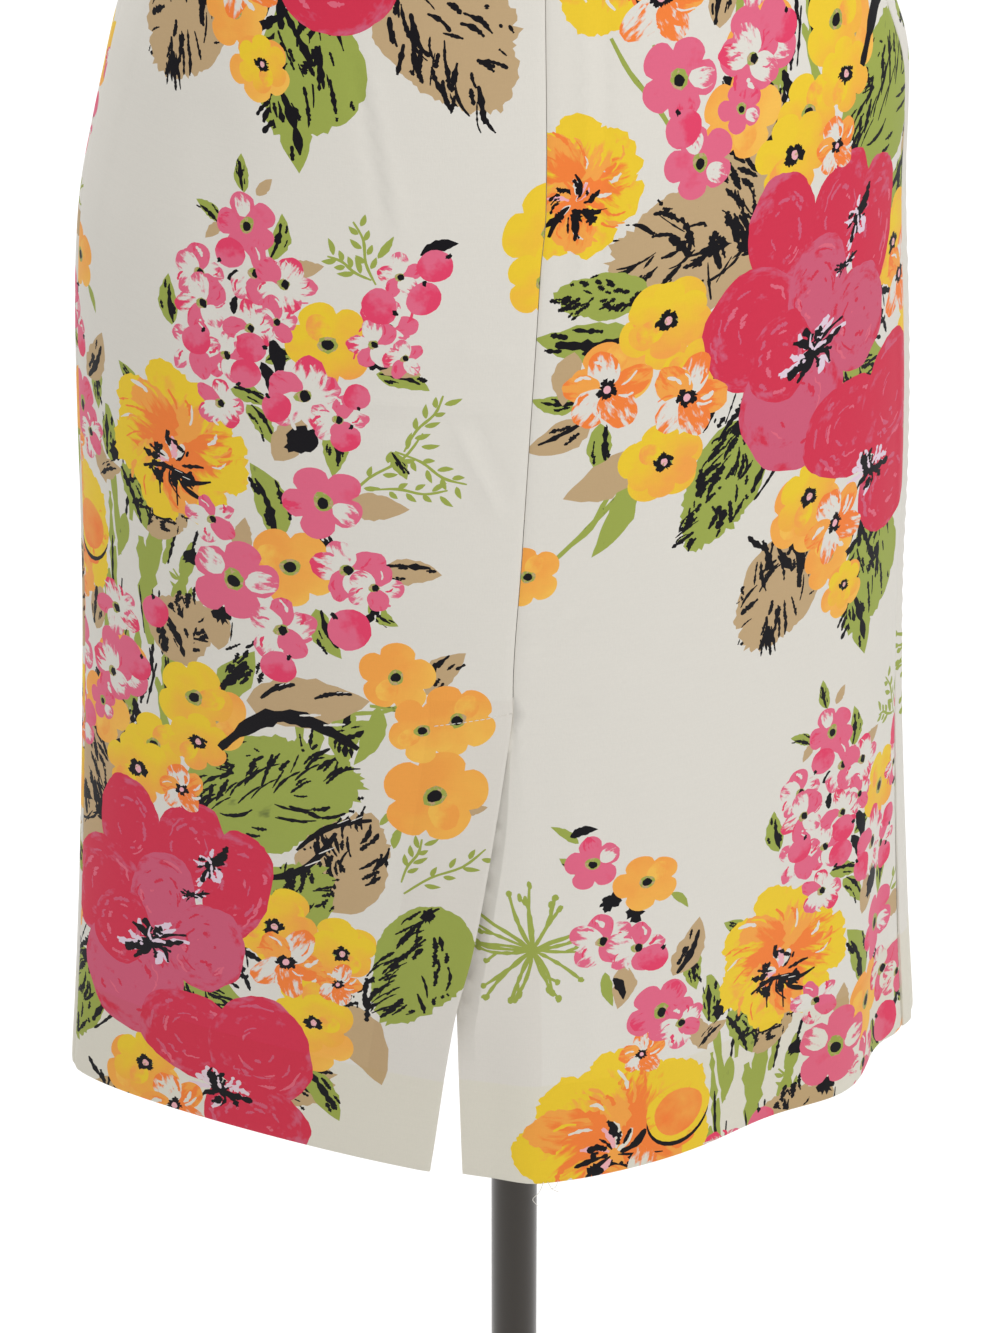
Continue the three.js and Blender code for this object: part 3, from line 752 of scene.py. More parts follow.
def leaf(draw, rng, x, y, length, turn, colour=OLIVE, width=0.42, inked=True):
    """A leaf from its stalk, with a black brushed vein and dabs beside it."""
    angle = math.radians(turn)
    bend = rng.uniform(-0.2, 0.2)
    draw.add(blade(rng, x, y, length, width * length, angle, bend, 0.12), colour, LEAF_SECOND[colour],
             (0.0, 0.15), (2, 5), 0.04, STRAIGHT,
             (*away_from(x, y, length / 2, angle), length / 2, angle))
    if not inked:
        return

    def within(along, aside):
        up = midrib(length, along, bend) + aside * width * length
        return turned_point(length * along, up, angle, x, y)

    shift = rng.uniform(-0.2, 0.2)
    vein = [within(along, shift + 0.05) for along in (0.05, 0.3, 0.55, 0.8)]
    draw.add(stroke(rng, vein, 0.1 * length, 0.1, 0.55), INK)
    for _ in range(6):
        along = rng.uniform(0.15, 0.75)
        side = rng.choice((-1, 1)) * rng.uniform(0.08, 0.34)
        dab = [within(along, side), within(along + 0.08, side * 1.15), within(along + 0.17, side * 1.2)]
        draw.add(stroke(rng, dab, rng.uniform(0.025, 0.07) * length, 0.2, 0.5), INK)


def tan_leaf(draw, rng, x, y, length, turn):
    leaf(draw, rng, x, y, length, turn, TAN, 0.48, False)


def inked_tan_leaf(draw, rng, x, y, length, turn):
    leaf(draw, rng, x, y, length, turn, TAN, 0.5)


def plain_leaf(draw, rng, x, y, length, turn):
    leaf(draw, rng, x, y, length, turn, OLIVE, 0.3, False)


def black_leaf(draw, rng, x, y, length, turn):
    angle = math.radians(turn)
    draw.add(blade(rng, x, y, length, 0.36 * length, angle, 0.2, 0.2), INK)


def breadth(along):
    """How wide a broad leaf is along its midrib, from 0 at its ends to 1."""
    return max(math.sin(math.pi * min(max(along, 0), 1) ** 0.8), 0) ** 0.62


def broad_leaf(draw, rng, x, y, wide, high, turn, colour=OLIVE, strokes=46, side=1):
    """A wide leaf, torn towards its tip, one half combed with black strokes."""
    angle = math.radians(turn)
    along = np.linspace(0.0, 1.0, 26)
    half = np.array([breadth(part) for part in along]) * high / 2 * wobble(rng, 6 * along, 0.05)
    bow = 0.06 * high * np.sin(math.pi * along)
    upper = np.stack([(along - 0.5) * wide, half + bow], -1)
    lower = np.stack([(along - 0.5) * wide, bow - half], -1)[-2:0:-1]
    tear = 0.25 + 1.7 * np.clip(np.concatenate([along, along[-2:0:-1]]) * 1.6 - 0.7, 0, 1)
    rim = torn(rng, np.concatenate([upper, lower]), tear)
    draw.add(turned(rim, angle, x, y), colour, LEAF_SECOND[colour], (0.0, 0.1), (2, 4), 0.04, STRAIGHT,
             (x, y, wide / 2, angle))
    comb(draw, rng, x, y, wide, high, turn, strokes, side)
    comb(draw, rng, x, y, 0.6 * wide, high, turn, strokes // 4, -side)
    blot(draw, rng, *turned_point(-0.4 * wide, 0.08 * side * high, angle, x, y), 0.2 * high, turn + 30)
    for _ in range(strokes // 5):
        part = rng.uniform(0.45, 0.95)
        up = rng.choice((-1, 1)) * rng.uniform(0.6, 1) * breadth(part) * high / 2
        at = turned_point((part - 0.5) * wide, up, angle, x, y)
        dabs(draw, rng, *at, 2, 2, turn + rng.uniform(-40, 40), 1)


def broad_tan_leaf(draw, rng, x, y, wide, high, turn, side=1):
    broad_leaf(draw, rng, x, y, wide, high, turn, TAN, 40, side)


def under_leaf(draw, rng, x, y, wide, high, turn, side=1):
    broad_leaf(draw, rng, x, y, wide, high, turn, OLIVE, 40, -side)


print("leaves: narrow, plain, black and broad, in olive and tan")


# %% Stems, reeds, sprigs and the seed head
def stem(draw, rng, x, y, length, turn):
    angle = math.radians(turn)
    path = turned([(0, 0), (0.35 * length, rng.uniform(-0.05, 0.05) * length),
                   (0.7 * length, rng.uniform(-0.05, 0.05) * length), (length, 0)], angle, x, y)
    draw.add(stroke(rng, path, 2.4, 0.4), OLIVE, DARK_OLIVE, (0.2, 0.4), (4, 4))


def reeds(draw, rng, x, y, length, turn):
    """Upright stems brushed broadly in olive, with thin black flecks between them."""
    for number in range(14):
        black = number > 4
        foot = x + rng.uniform(-0.17, 0.17) * length
        lean = math.radians(turn + rng.uniform(-9, 9))
        reach = rng.uniform(0.1, 0.3) * length if black else rng.uniform(0.4, 0.7) * length
        start = rng.uniform(-0.5, 0.5) * length - reach / 2
        path = [away_from(foot, y, start + reach * part, lean) for part in STROKE_PARTS]
        width = rng.uniform(0.8, 2.6) if black else rng.uniform(3, 8)
        draw.add(stroke(rng, path, width, 0.15, 0.5), INK if black else OLIVE)


def sprig(draw, rng, x, y, length, turn):
    """A thin curved stem with pairs of small narrow leaves."""
    angle = math.radians(turn)
    path = turned([(0, 0), (0.35 * length, 0.06 * length), (0.7 * length, 0.02 * length),
                   (length, 0.1 * length)], angle, x, y)
    draw.add(stroke(rng, path, 1.4, 0.4), OLIVE)
    for number in range(7):
        along = 0.25 + 0.11 * number
        side = 1 if number % 2 else -1
        foot = turned_point(along * length, 0.04 * length + side * 0.03 * length, angle, x, y)
        draw.add(blade(rng, *foot, rng.uniform(5, 8.5), 2.6, angle + side * 0.65, 0.1 * side), OLIVE)


def umbel(draw, rng, x, y, size, turn):
    """A seed head: curved rays, some forked, with a seed at each tip."""
    for number in range(22):
        way = math.radians(16.4 * number + rng.uniform(-6, 6))
        reach = size / 2 * rng.uniform(0.62, 1.0)
        bend = rng.uniform(-0.3, 0.3)
        path = [away_from(x, y, reach * part, way + bend * part) for part in (0, 0.3, 0.65, 1)]
        draw.add(stroke(rng, path, rng.uniform(1.4, 2.1), 0.45, 0.3), OLIVE)
        tips = [path[-1]]
        if number % 3 == 0:
            fork = away_from(*path[2], 7, way + 0.5)
            draw.add(stroke(rng, [path[2], fork], 1.4, 0.5, 0.3), OLIVE)
            tips.append(fork)
        for tip in tips:
            draw.add(oval(rng, *tip, rng.uniform(3, 5), rng.uniform(2.4, 3.4), way, 0.2, 12), OLIVE)
    draw.add(ragged(rng, x, y, 7, 7, 0, 0.3, 14), OLIVE)


print("greenery: stems, reeds, sprigs, a seed head")

# %% [markdown]
# ## The bouquet
# The cloth repeats one tall bouquet. Its motifs stand in short lists of place, size and turn,
# in millimetres and degrees from the heart of the bouquet, as seen from the face of the cloth.
# A crescent has two ends, a sag and a width; a petal ends with its shade, light or dark.

# %% Place the motifs of one bouquet, from the back to the front
BOUQUET = [
    (stem, [(92, 160, 24, -4), (-80, 112, 58, 122), (-74, 116, 44, 114), (-128, -84, 58, 47),
        (-120, -76, 42, 50), (72, 150, 40, 20)]),
    (reeds, [(-30, 215, 120, 90), (-36, 165, 100, 97), (-14, 190, 90, 84), (62, 120, 60, 96)]),
    (sprig, [(86, 372, 30, 108), (84, 374, 22, 150), (76, 264, 50, 42), (98, 292, 36, -32),
        (102, 292, 32, 55), (88, 272, 34, -4), (120, 60, 44, 34), (118, 66, 26, 70),
        (8, 186, 30, 112)]),
    (umbel, [(-138, 317, 70, 0)]),
    (broad_tan_leaf, [(-72, 66, 78, 62, 186), (-40, 96, 76, 56, 95), (92, 72, 60, 46, 78),
        (-12, -120, 60, 50, -112), (0, 182, 42, 34, 60), (-10, 240, 34, 24, 40), (2, -30, 60, 60, 20),
        (84, -60, 40, 40, 0)]),
    (broad_leaf, [(50, 100, 96, 66, 27), (-112, 48, 44, 22, 176), (34, -30, 60, 34, -40),
        (70, 46, 50, 40, 60)]),
    (under_leaf, [(132, 20, 72, 48, -100), (-48, -56, 66, 40, -112), (52, -134, 60, 50, -110)]),
    (leaf, [(24, 406, 17, 95), (13, 391, 15, 150), (39, 378, 22, 82), (-9, 338, 24, 97),
        (38, 330, 17, 25), (22, 314, 20, -15), (30, 308, 22, -55), (88, 330, 25, -18),
        (68, 304, 27, -84), (48, 242, 40, 113), (90, 214, 18, -38), (66, 208, 28, -62),
        (14, 150, 38, 52), (81, 158, 34, -86), (98, 150, 24, 205), (-94, 27, 46, 177),
        (-118, -3, 22, 172), (-108, -14, 26, -86), (-108, 356, 18, 150), (-58, 302, 24, -88),
        (-48, 256, 28, 92), (-38, 258, 34, -62), (88, -52, 34, -52), (40, -108, 34, -60),
        (-24, 300, 20, 150), (40, -140, 38, -75), (6, 270, 18, 60), (96, 292, 16, -60)]),
    (plain_leaf, [(96, 160, 34, -104), (-92, -42, 42, -112), (-114, 372, 16, 140), (-104, 300, 20, -80),
        (86, 384, 12, 60), (104, 96, 12, 60), (112, 84, 14, 80), (-36, 232, 26, -100),
        (-70, 336, 14, -50)]),
    (tan_leaf, [(30, 406, 11, 48), (14, 390, 11, 225), (46, 376, 17, 8), (88, 334, 20, -12),
        (44, 282, 30, 62), (78, 265, 28, -4), (-95, 302, 24, -98), (-122, 22, 26, 262),
        (33, 152, 60, 10), (104, -8, 50, -62), (-88, -30, 40, 210), (19, 176, 30, 95),
        (29, 230, 20, 85), (-58, 262, 22, -70), (140, 108, 12, 10)]),
    (inked_tan_leaf, [(95, 231, 27, -2), (118, 168, 28, 52), (-70, 290, 32, 62), (-112, -12, 32, 205),
        (-56, 244, 20, 30), (2, 166, 30, 120), (-60, 158, 30, 80)]),
    (black_leaf, [(104, 386, 17, 18), (40, 342, 20, -78), (18, 366, 13, 15), (22, 350, 10, 80),
        (-118, 376, 14, 8), (-100, 296, 14, -70), (36, 330, 18, -70), (64, 244, 16, -50)]),
    (blot, [(88, 336, 13, 10), (56, 294, 20, 30), (70, 238, 14, 60), (2, 350, 9, 0), (26, 340, 8, 0),
        (-100, 338, 14, 40), (-88, 330, 14, 70), (-44, 262, 13, 90), (4, 222, 12, 40),
        (20, 196, 14, -60), (-44, 60, 12, 0), (-32, -6, 14, 50)]),
    (ink_fan, [(44, 4, 34, -30, 9), (-50, -6, 40, 72, 10), (-44, -60, 40, 60, 9), (26, -42, 34, -62, 9),
        (-10, -98, 34, -80, 10), (110, -6, 36, 60, 10), (-46, -16, 34, 70, 8), (64, 240, 22, -50, 6),
        (34, 176, 26, 60, 6), (-22, 250, 34, 30, 8), (-60, 60, 40, 110, 9), (22, 120, 26, 20, 8),
        (-40, 130, 40, 96, 9), (46, -118, 36, 70, 8), (66, -104, 26, -40, 6)]),
    (big_flower, [(-6, 278, 78, 20), (-98, 208, 96, 60), (-126, 98, 62, 10)]),
    (orange_ball, [(-66, 212, 32, 20)]),
    (orange_white_flower, [(-86, 250, 24, 20)]),
    (amber_flower, [(53, 228, 44, 20), (-82, 345, 34, 0), (104, 176, 36, 50), (132, 155, 38, 10),
        (127, 115, 50, 50), (117, 149, 32, 20), (-38, 150, 38, 0), (-50, 119, 42, 40), (16, 138, 40, 0),
        (2, -82, 44, 30), (92, -34, 38, 30), (20, -112, 34, 60), (32, -134, 30, 10), (-136, -88, 30, 0),
        (-104, 8, 40, 10)]),
    (sunny_flower, [(66, 342, 40, 5), (6, 146, 42, 35), (-14, 112, 36, 0), (-78, -38, 40, 60),
        (-80, 30, 46, 20), (-66, 4, 34, 45), (88, -16, 42, 25), (94, 22, 40, 0), (60, 28, 46, 30)]),
    (ringed_flower, [(10, 122, 34, 0), (-22, 95, 42, 20), (-77, -38, 36, 0), (-80, 31, 40, 0),
        (3, -76, 38, 0), (96, 20, 34, 0), (60, 27, 38, 40), (89, -24, 36, 0), (33, -132, 24, 0)]),
]
CRESCENTS = [
    (40, 155, 57, 166, 2, 3.2), (66, 160, 84, 165, 1.5, 2.4), (22, 122, 89, 136, 19, 8.5),
    (34, 52, 84, 88, -12, 4), (66, 74, 100, 98, 5, 3.5), (88, 226, 88, 203, 7, 5), (-24, 262, 4, 258, 6, 3),
]
PETALS = [
    (-24, 60, 38, 58, 12, 0), (12, 60, 40, 54, 0, 0), (38, 44, 36, 68, -6, 0), (-36, 18, 52, 58, 15, 0),
    (0, 26, 38, 52, 5, 1), (-10, -26, 60, 66, 40, 1), (26, -50, 50, 58, 60, 0), (64, -48, 54, 64, 30, 0),
    (28, 4, 42, 52, 10, 1), (66, -92, 58, 46, -8, 0), (-20, 0, 36, 44, 0, 0),
]
HEARTS = [(-1, -2, 34, 11, 20), (24, 54, 24, 9, 60), (46, -78, 30, 10, -10), (17, 33, 14, 6, 200)]
FRONT_OF_BOUQUET = [
    (orange_white_flower, [(70, 8, 40, 0), (4, 92, 28, 30), (-106, 2, 40, 20), (-68, -8, 40, 0),
        (22, -96, 38, 50), (-88, 176, 42, 0), (98, 2, 24, 15)]),
    (rose_flower, [(67, 264, 40, 10), (26, 216, 46, 40), (-70, 102, 34, 0), (-108, 360, 30, 60),
        (-76, 272, 36, 20), (26, 392, 30, 0), (-40, 148, 40, 15), (-80, 140, 38, 30),
        (-50, 122, 22, 0)]),
    (blossom, [(56, 316, 36, 12), (79, 230, 32, 31), (92, 222, 24, 2), (50, 194, 34, 20),
        (14, 245, 24, 41), (31, 371, 28, 11), (45, 368, 28, 3), (4, 366, 26, 14), (6, 352, 27, 40),
        (42, 350, 22, 23), (92, 352, 26, 7), (86, 344, 22, 34), (100, 338, 18, 25), (17, 306, 24, 9),
        (-105, 317, 30, 17), (-88, 310, 28, 2), (-42, 178, 30, 42), (19, 330, 24, 16),
        (30, 345, 24, 33), (72, 306, 24, 5), (96, 376, 20, 19), (-44, 142, 30, 28), (-66, 262, 26, 38),
        (4, 330, 26, 8)]),
    (ball, [(111, 381, 16, 0), (107, 366, 16, 50), (88, 362, 17, -60), (82, 199, 22, 100),
        (19, 378, 15, 180), (4, 334, 15, 20), (31, 336, 15, -30), (29, 323, 15, 200), (44, 309, 15, 90),
        (80, 318, 13, 240), (76, 297, 14, 30), (49, 174, 18, 10), (-78, 118, 18, 70), (-80, 303, 16, 0),
        (-26, 152, 15, 40), (-16, 186, 17, 60)]),
]


def draw_bouquet():
    draw = Drawing()
    rng = random.Random(29)
    poppies = [(crescent, CRESCENTS), (petal, PETALS), (stamens, HEARTS)]
    for motif, places in BOUQUET + poppies + FRONT_OF_BOUQUET:
        for place in places:
            motif(draw, rng, *place)
    return draw.shapes


def draw_single_motifs():
    """On the left back only: a flower that the seam cuts through, and a leaf high on the hip."""
    draw = Drawing()
    rng = random.Random(8)
    broad_tan_leaf(draw, rng, -42, 578, 76, 58, -52, -1)
    sunny_flower(draw, rng, 4, 492, 46, 0)
    sunny_flower(draw, rng, 2, 470, 34, 40)
    return draw.shapes


bouquet = draw_bouquet()
single_motifs = draw_single_motifs()
print("one bouquet has", len(bouquet), "painted shapes")

# %% [markdown]
# ## Flat patterns
# Each panel is cut flat and hangs round. A pattern knows its two edges at every height, and
# turns a flat point, right of its grain line as seen from outside and up from the hem, into
# a turn round the section.

# %% Patterns of the panels
ROW_STEP = 4.0


class Pattern:
    """A flat panel between two edge turns, with its grain line at a zero turn."""

    def __init__(self, name, bottom, top, right_turn, left_turn, zero_turn, bouquets, extra=()):
        self.name, self.extra = name, extra
        self.bottom, self.top = bottom, top
        self.bouquets = bouquets
        self.heights = np.linspace(bottom, top, int((top - bottom) / ROW_STEP) + 2)
        share = np.linspace(0, 1, 240)
        self.turns, self.rights = [], []
        for height in self.heights:
            low, high = right_turn(height), left_turn(height)
            turns = low + (high - low) * share
            points = outline(turns, np.full_like(turns, height))
            run = np.concatenate([[0], np.cumsum(np.linalg.norm(np.diff(points, axis=0), axis=1))])
            zero = np.interp(zero_turn(height), turns, run)
            self.turns.append(turns)
            self.rights.append(zero - run)
        self.right_edge = np.array([row[0] for row in self.rights])
        self.left_edge = np.array([row[-1] for row in self.rights])

    def edge(self, side, height):
        return np.interp(height, self.heights, self.right_edge if side > 0 else self.left_edge)

    def turn_of(self, right, height):
        place = (np.clip(height, self.bottom, self.top) - self.bottom) / (self.top - self.bottom)
        place = place * (len(self.heights) - 1)
        lower = np.minimum(place.astype(int), len(self.heights) - 2)
        part = place - lower
        result = np.zeros_like(right)
        for row in np.unique(lower):
            here = lower == row
            below = np.interp(right[here], self.rights[row][::-1], self.turns[row][::-1])
            above = np.interp(right[here], self.rights[row + 1][::-1], self.turns[row + 1][::-1])
            result[here] = below + (above - below) * part[here]
        return result


# %% The four panels
PANEL_TOP = WAIST_SEAM - 0.3
BAND_GAP = 1


def turn_along(line, aside=0, add=0):
    """The turn of a line on the back at any height, moved aside by some millimetres."""
    return lambda height: add + float(turn_at(line(height) + aside, height))


def steady(turn):
    return lambda height: turn


# Each panel: its lower and upper edge, the turns of its right and left edge and of its grain
# line, and where the hearts of its bouquets lie on the flat cloth.
left_back = Pattern("skirt_back_left", 0, PANEL_TOP, turn_along(flap_at),
                    steady(LEFT_SEAM - SEAM_HALF_GAP), turn_along(flap_at),
                    [(-157, 98), (-157, 693)], single_motifs)
right_back = Pattern("skirt_back_right", 0, PANEL_TOP, steady(RIGHT_SEAM + SEAM_HALF_GAP),
                     turn_along(underlap_at), turn_along(crease_at), [(139, 414), (136, -187)])
front = Pattern("skirt_front", 0, PANEL_TOP, steady(LEFT_SEAM + SEAM_HALF_GAP),
                steady(360 + RIGHT_SEAM - SEAM_HALF_GAP), steady(180.0),
                [(-118, 490), (-118, -110), (152, 190), (152, 790)])
band = Pattern("skirt_waistband", WAIST_SEAM, BAND_TOP, turn_along(crease_at, BAND_GAP),
               turn_along(crease_at, -BAND_GAP, 360), steady(180.0),
               [(-330, 560), (-40, 760), (265, 560), (120, 820), (-200, 740)])
for pattern in (left_back, right_back, front, band):
    print(pattern.name, "is", round(float(np.ptp([pattern.left_edge[0], pattern.right_edge[0]]))),
          "mm wide at its lower edge")

# %% [markdown]
# ## Relief of the cloth
# Folded edges roll over, seams sink a little between their allowances, and handling leaves
# soft creases. Each crease is placed as a short line with its own width and height.

# %% Creases of each panel: from (right, up) to (right, up), width, rise
CREASES = {
    "skirt_back_left": [
        (-88, 414, -2, 411, 4, 0.8), (-88, 404, -2, 401, 6, -0.7), (-34, 406, -10, 354, 4, 1.0),
        (-28, 408, -5, 358, 4, -0.7), (-36, 438, -8, 436, 6, 0.6), (-84, 575, -68, 488, 4, -0.9),
        (-77, 572, -61, 486, 4, 0.7), (-70, 540, -60, 400, 16, 0.9), (-150, 560, -140, 420, 14, -0.8),
        (-190, 300, -186, 90, 16, 0.9), (-30, 250, -22, 60, 12, 0.8), (-90, 240, -84, 20, 20, -0.8),
        (-110, 190, -60, 150, 9, 0.5), (-20, 300, -60, 260, 8, -0.5),
    ],
    "skirt_back_right": [
        (17, 600, 17, 440, 3.5, 1.0), (26, 600, 25, 450, 3, -0.8), (2, 294, 26, 309, 3.5, 0.9),
        (28, 258, 54, 274, 4, 0.8), (6, 286, 30, 301, 4, -0.7), (84, 590, 76, 505, 5, -0.8),
        (100, 520, 110, 380, 14, 0.8), (60, 240, 66, 40, 18, 0.9), (110, 220, 106, 20, 14, -0.7),
        (20, 235, 26, 20, 8, 0.7), (150, 300, 156, 200, 10, 0.7), (40, 150, 90, 140, 9, -0.4),
    ],
    "skirt_front": [
        (-60, 560, -90, 420, 16, 0.9), (60, 565, 92, 430, 16, 0.9), (-20, 300, -30, 60, 20, 0.9),
        (60, 280, 70, 30, 18, -0.9), (-120, 260, -128, 20, 16, 0.8), (140, 250, 146, 40, 16, 0.8),
        (-70, 380, 20, 372, 7, -0.5), (-10, 366, 60, 374, 6, 0.5), (-160, 420, -120, 380, 8, 0.5),
    ],
    "skirt_waistband": [
        (-200, 630, -120, 634, 8, 0.3), (80, 640, 160, 632, 8, 0.3),
    ],
}


CREASE_HALF = 0.25
CREASE_FADE = 0.03


def crease_rise(name, right, up):
    """The height of a panel's creases, which fade towards both ends of their lines."""
    rise = np.zeros_like(right)
    for start_right, start_up, end_right, end_up, width, size in CREASES[name]:
        run = np.array([end_right - start_right, end_up - start_up], float)
        length = np.hypot(*run)
        run /= length
        along = ((right - start_right) * run[0] + (up - start_up) * run[1]) / length
        aside = (-(right - start_right) * run[1] + (up - start_up) * run[0]) / width
        fade = np.exp(-np.clip(np.abs(along - 0.5) - CREASE_HALF, 0, None) ** 2 / CREASE_FADE)
        rise += size * fade * np.exp(-aside * aside)
    return rise


print("creases placed:", sum(len(rows) for rows in CREASES.values()))

# %% Relief of each panel
# A span like (500, 420) is where something starts to show and where it is whole.
SIDE_FOLD_SPAN = (500, 420)
SIDE_FOLD = 1.1
SIDE_HOLLOW = 0.6 * SIDE_FOLD
SIDE_FOLD_WIDTH = 3
ALLOWANCE_SPAN = (430, 490)
ALLOWANCE_REACH = 28
ALLOWANCE_RISE = 0.9
FLAP_SPANS = ((250, 190), (20, 100))
FLAP_LIFT = 2.6
FLAP_LIFT_REACH = 18
BACK_FOLD_SPAN = (440, 360)
BACK_FOLD = 0.7
BACK_FOLD_WIDTH = 4
UNDERLAP_FOLD = ((84, 254), (-31.0, 0.5))
UNDERLAP_FOLD_SPAN = (60, 100)
FOLD_WIDTH = (8.0, 2.0)
FOLD_SLOPE = 0.45
STEP_START = 0.9


def share_of(span, value):
    """0 before a span, 1 past it and even between; a span may run downwards."""
    return np.clip((value - span[0]) / (span[1] - span[0]), 0, 1)


def ridge(distance, width):
    return np.exp(-(distance / width) ** 2)


def fading(distance, width):
    """1 well before a line, 0 well past it, and soft between."""
    return 1 / (1 + np.exp(distance / width))


def seam_dip(distance, depth=0.9, width=1.5):
    """Cloth that rolls in towards a sewn or folded edge."""
    return -depth * np.exp(-np.maximum(distance, -1) / width)


def underlap_drop(right, up):
    """How far the underlap steps back behind the flap, and slopes back past its own fold."""
    reach = np.clip(flap_at(up) - crease_at(up) - 2, 0, 0.7 * (underlap_at(up) - crease_at(up)))
    part = np.clip((STEP_START - right) / (reach + 2 * STEP_START), 0, 1)
    folded = share_of(UNDERLAP_FOLD_SPAN, up)
    past_fold = np.interp(up, *UNDERLAP_FOLD) - right
    fold_width = np.interp(up, UNDERLAP_FOLD[0], FOLD_WIDTH)
    step = UNDERLAP_STEP * part * part * (3 - 2 * part) * (1 - 0.7 * folded)
    return -step - FOLD_SLOPE * folded * np.clip(past_fold, 0, fold_width)


def relief(pattern, right, up):
    """How far the outer face stands proud of the smooth form, in millimetres."""
    rise = crease_rise(pattern.name, right, up)
    if pattern is band:
        return rise + seam_dip(up - pattern.bottom, 0.4) + seam_dip(pattern.top - up, 0.4, 1.0)
    rise += seam_dip(pattern.top - up)
    rise += seam_dip(up - pattern.bottom, 0.35, 1.0)
    if pattern is front:
        from_seam = right - pattern.edge(-1, up)
        rise += share_of(SIDE_FOLD_SPAN, up) * (SIDE_FOLD * ridge(from_seam - 7, SIDE_FOLD_WIDTH)
                                                - SIDE_HOLLOW * ridge(from_seam - 13, SIDE_FOLD_WIDTH))
        return rise + seam_dip(pattern.edge(1, up) - right) + seam_dip(from_seam)
    sewn = fading(VENT_TOP - up, 3)
    if pattern is left_back:
        from_side = right - pattern.edge(-1, up)
        rise += ALLOWANCE_RISE * share_of(ALLOWANCE_SPAN, up) * fading(from_side - ALLOWANCE_REACH, 1.2)
        lift = share_of(FLAP_SPANS[0], up) * share_of(FLAP_SPANS[1], up)
        rise += FLAP_LIFT * lift * np.exp(right / FLAP_LIFT_REACH)
        rise = rise + seam_dip(from_side) + sewn * seam_dip(-right)
        return rise + (1 - sewn) * seam_dip(-right, 0.3, 1.0)
    from_side = pattern.edge(1, up) - right
    rise += BACK_FOLD * share_of(BACK_FOLD_SPAN, up) * ridge(from_side - 10, BACK_FOLD_WIDTH)
    rise += seam_dip(from_side)
    return rise + np.where(up <= UNDERLAP_TOP + 0.5, underlap_drop(right, up), seam_dip(right))


print("the flap is lifted by", FLAP_LIFT, "mm, the underlap stands", UNDERLAP_STEP, "mm further in")

# %% [markdown]
# ## From flat print to worn cloth
# The outlines of the print cut the flat panel into triangles, so that each colour ends on a
# clean edge, as a screen print does. The triangles are then wrapped round the form. The back
# of the cloth is a second, plainer layer, joined to the first along every edge.

# %% A panel's border and the points inside it
GRID = 4.6
GRID_MARGIN = 2.6
FOLD_MARGIN = 2.4
EDGE_ROWS = (0.7, 1.8)
CREASE_ROWS = (-1.5, -0.6, 0.3)
FOLD_ROWS = (-1.2, -0.4, 0.4, 1.2)
FOLD_ROWS_SPAN = (64, 236)


def panel_edges(pattern):
    """The flat panel's border, from its lower left corner and round."""
    rows = int((pattern.top - pattern.bottom) / ROW_STEP) + 1
    heights = np.linspace(pattern.bottom, pattern.top, rows)
    if pattern is right_back:
        low = np.append(heights[heights < UNDERLAP_TOP], UNDERLAP_TOP)
        high = heights[heights > UNDERLAP_TOP + 2]
        left = [(float(pattern.edge(-1, up)), up) for up in low]
        reach = float(pattern.edge(-1, UNDERLAP_TOP))
        left += [(reach * part, UNDERLAP_TOP) for part in (0.8, 0.6, 0.4, 0.2)]
        left += [(0.0, UNDERLAP_TOP)] + [(0.0, up) for up in high]
    else:
        left = [(float(pattern.edge(-1, up)), up) for up in heights]
    right = [(float(pattern.edge(1, up)), up) for up in heights]

    def across(start, end):
        count = int(abs(end[0] - start[0]) / ROW_STEP)
        parts = np.arange(1, count) / count
        return [(start[0] + (end[0] - start[0]) * part, start[1]) for part in parts]

    return np.array(left + across(left[-1], right[-1]) + right[::-1] + across(right[0], left[0]))


def left_limit(pattern, up):
    if pattern is right_back:
        return np.where(up < UNDERLAP_TOP, pattern.edge(-1, up), 0.0)
    return pattern.edge(-1, up)


def column(rights, ups):
    return np.stack([rights, ups], -1)


def grid_points(pattern, step):
    """Points inside a panel: an even grid, with close rows along edges, hem and folds."""
    rights = np.arange(pattern.left_edge.min(), pattern.right_edge.max(), step)
    ups = np.arange(pattern.bottom + 2.4, pattern.top - 2, step)
    ups = np.append(ups, [pattern.bottom + 0.8, pattern.top - 0.8, pattern.top - 1.8])
    if pattern is not band:
        ups = np.append(ups, [HEM_ALLOWANCE - 0.8, HEM_ALLOWANCE, HEM_ALLOWANCE + 0.8])
    right, up = [values.ravel() for values in np.meshgrid(rights, ups)]
    right = right + 0.5 * step * (np.round(up / step) % 2)
    keep = (right > left_limit(pattern, up) + GRID_MARGIN) & (right < pattern.edge(1, up) - GRID_MARGIN)
    if pattern is right_back:
        keep &= np.abs(right - np.interp(up, *UNDERLAP_FOLD)) > FOLD_MARGIN
    points = [column(right[keep], up[keep])]
    ups = np.arange(pattern.bottom + 2, pattern.top - 1, ROW_STEP)
    for inset in EDGE_ROWS:
        points.append(column(pattern.edge(1, ups) - inset, ups))
        points.append(column(left_limit(pattern, ups) + inset, ups))
    if pattern is right_back:
        ups = ups[ups < UNDERLAP_TOP - 1]
        points += [column(np.full_like(ups, inset), ups) for inset in CREASE_ROWS]
        ups = ups[(ups > FOLD_ROWS_SPAN[0]) & (ups < FOLD_ROWS_SPAN[1])]
        points += [column(np.interp(ups, *UNDERLAP_FOLD) + inset, ups) for inset in FOLD_ROWS]
    return np.concatenate(points)


print("the left back's border has", len(panel_edges(left_back)), "points")


# %% Cut a panel along its print
LINE_SLACK = 0.1
LONGEST_EDGE = 3.0
BATCH = 4000


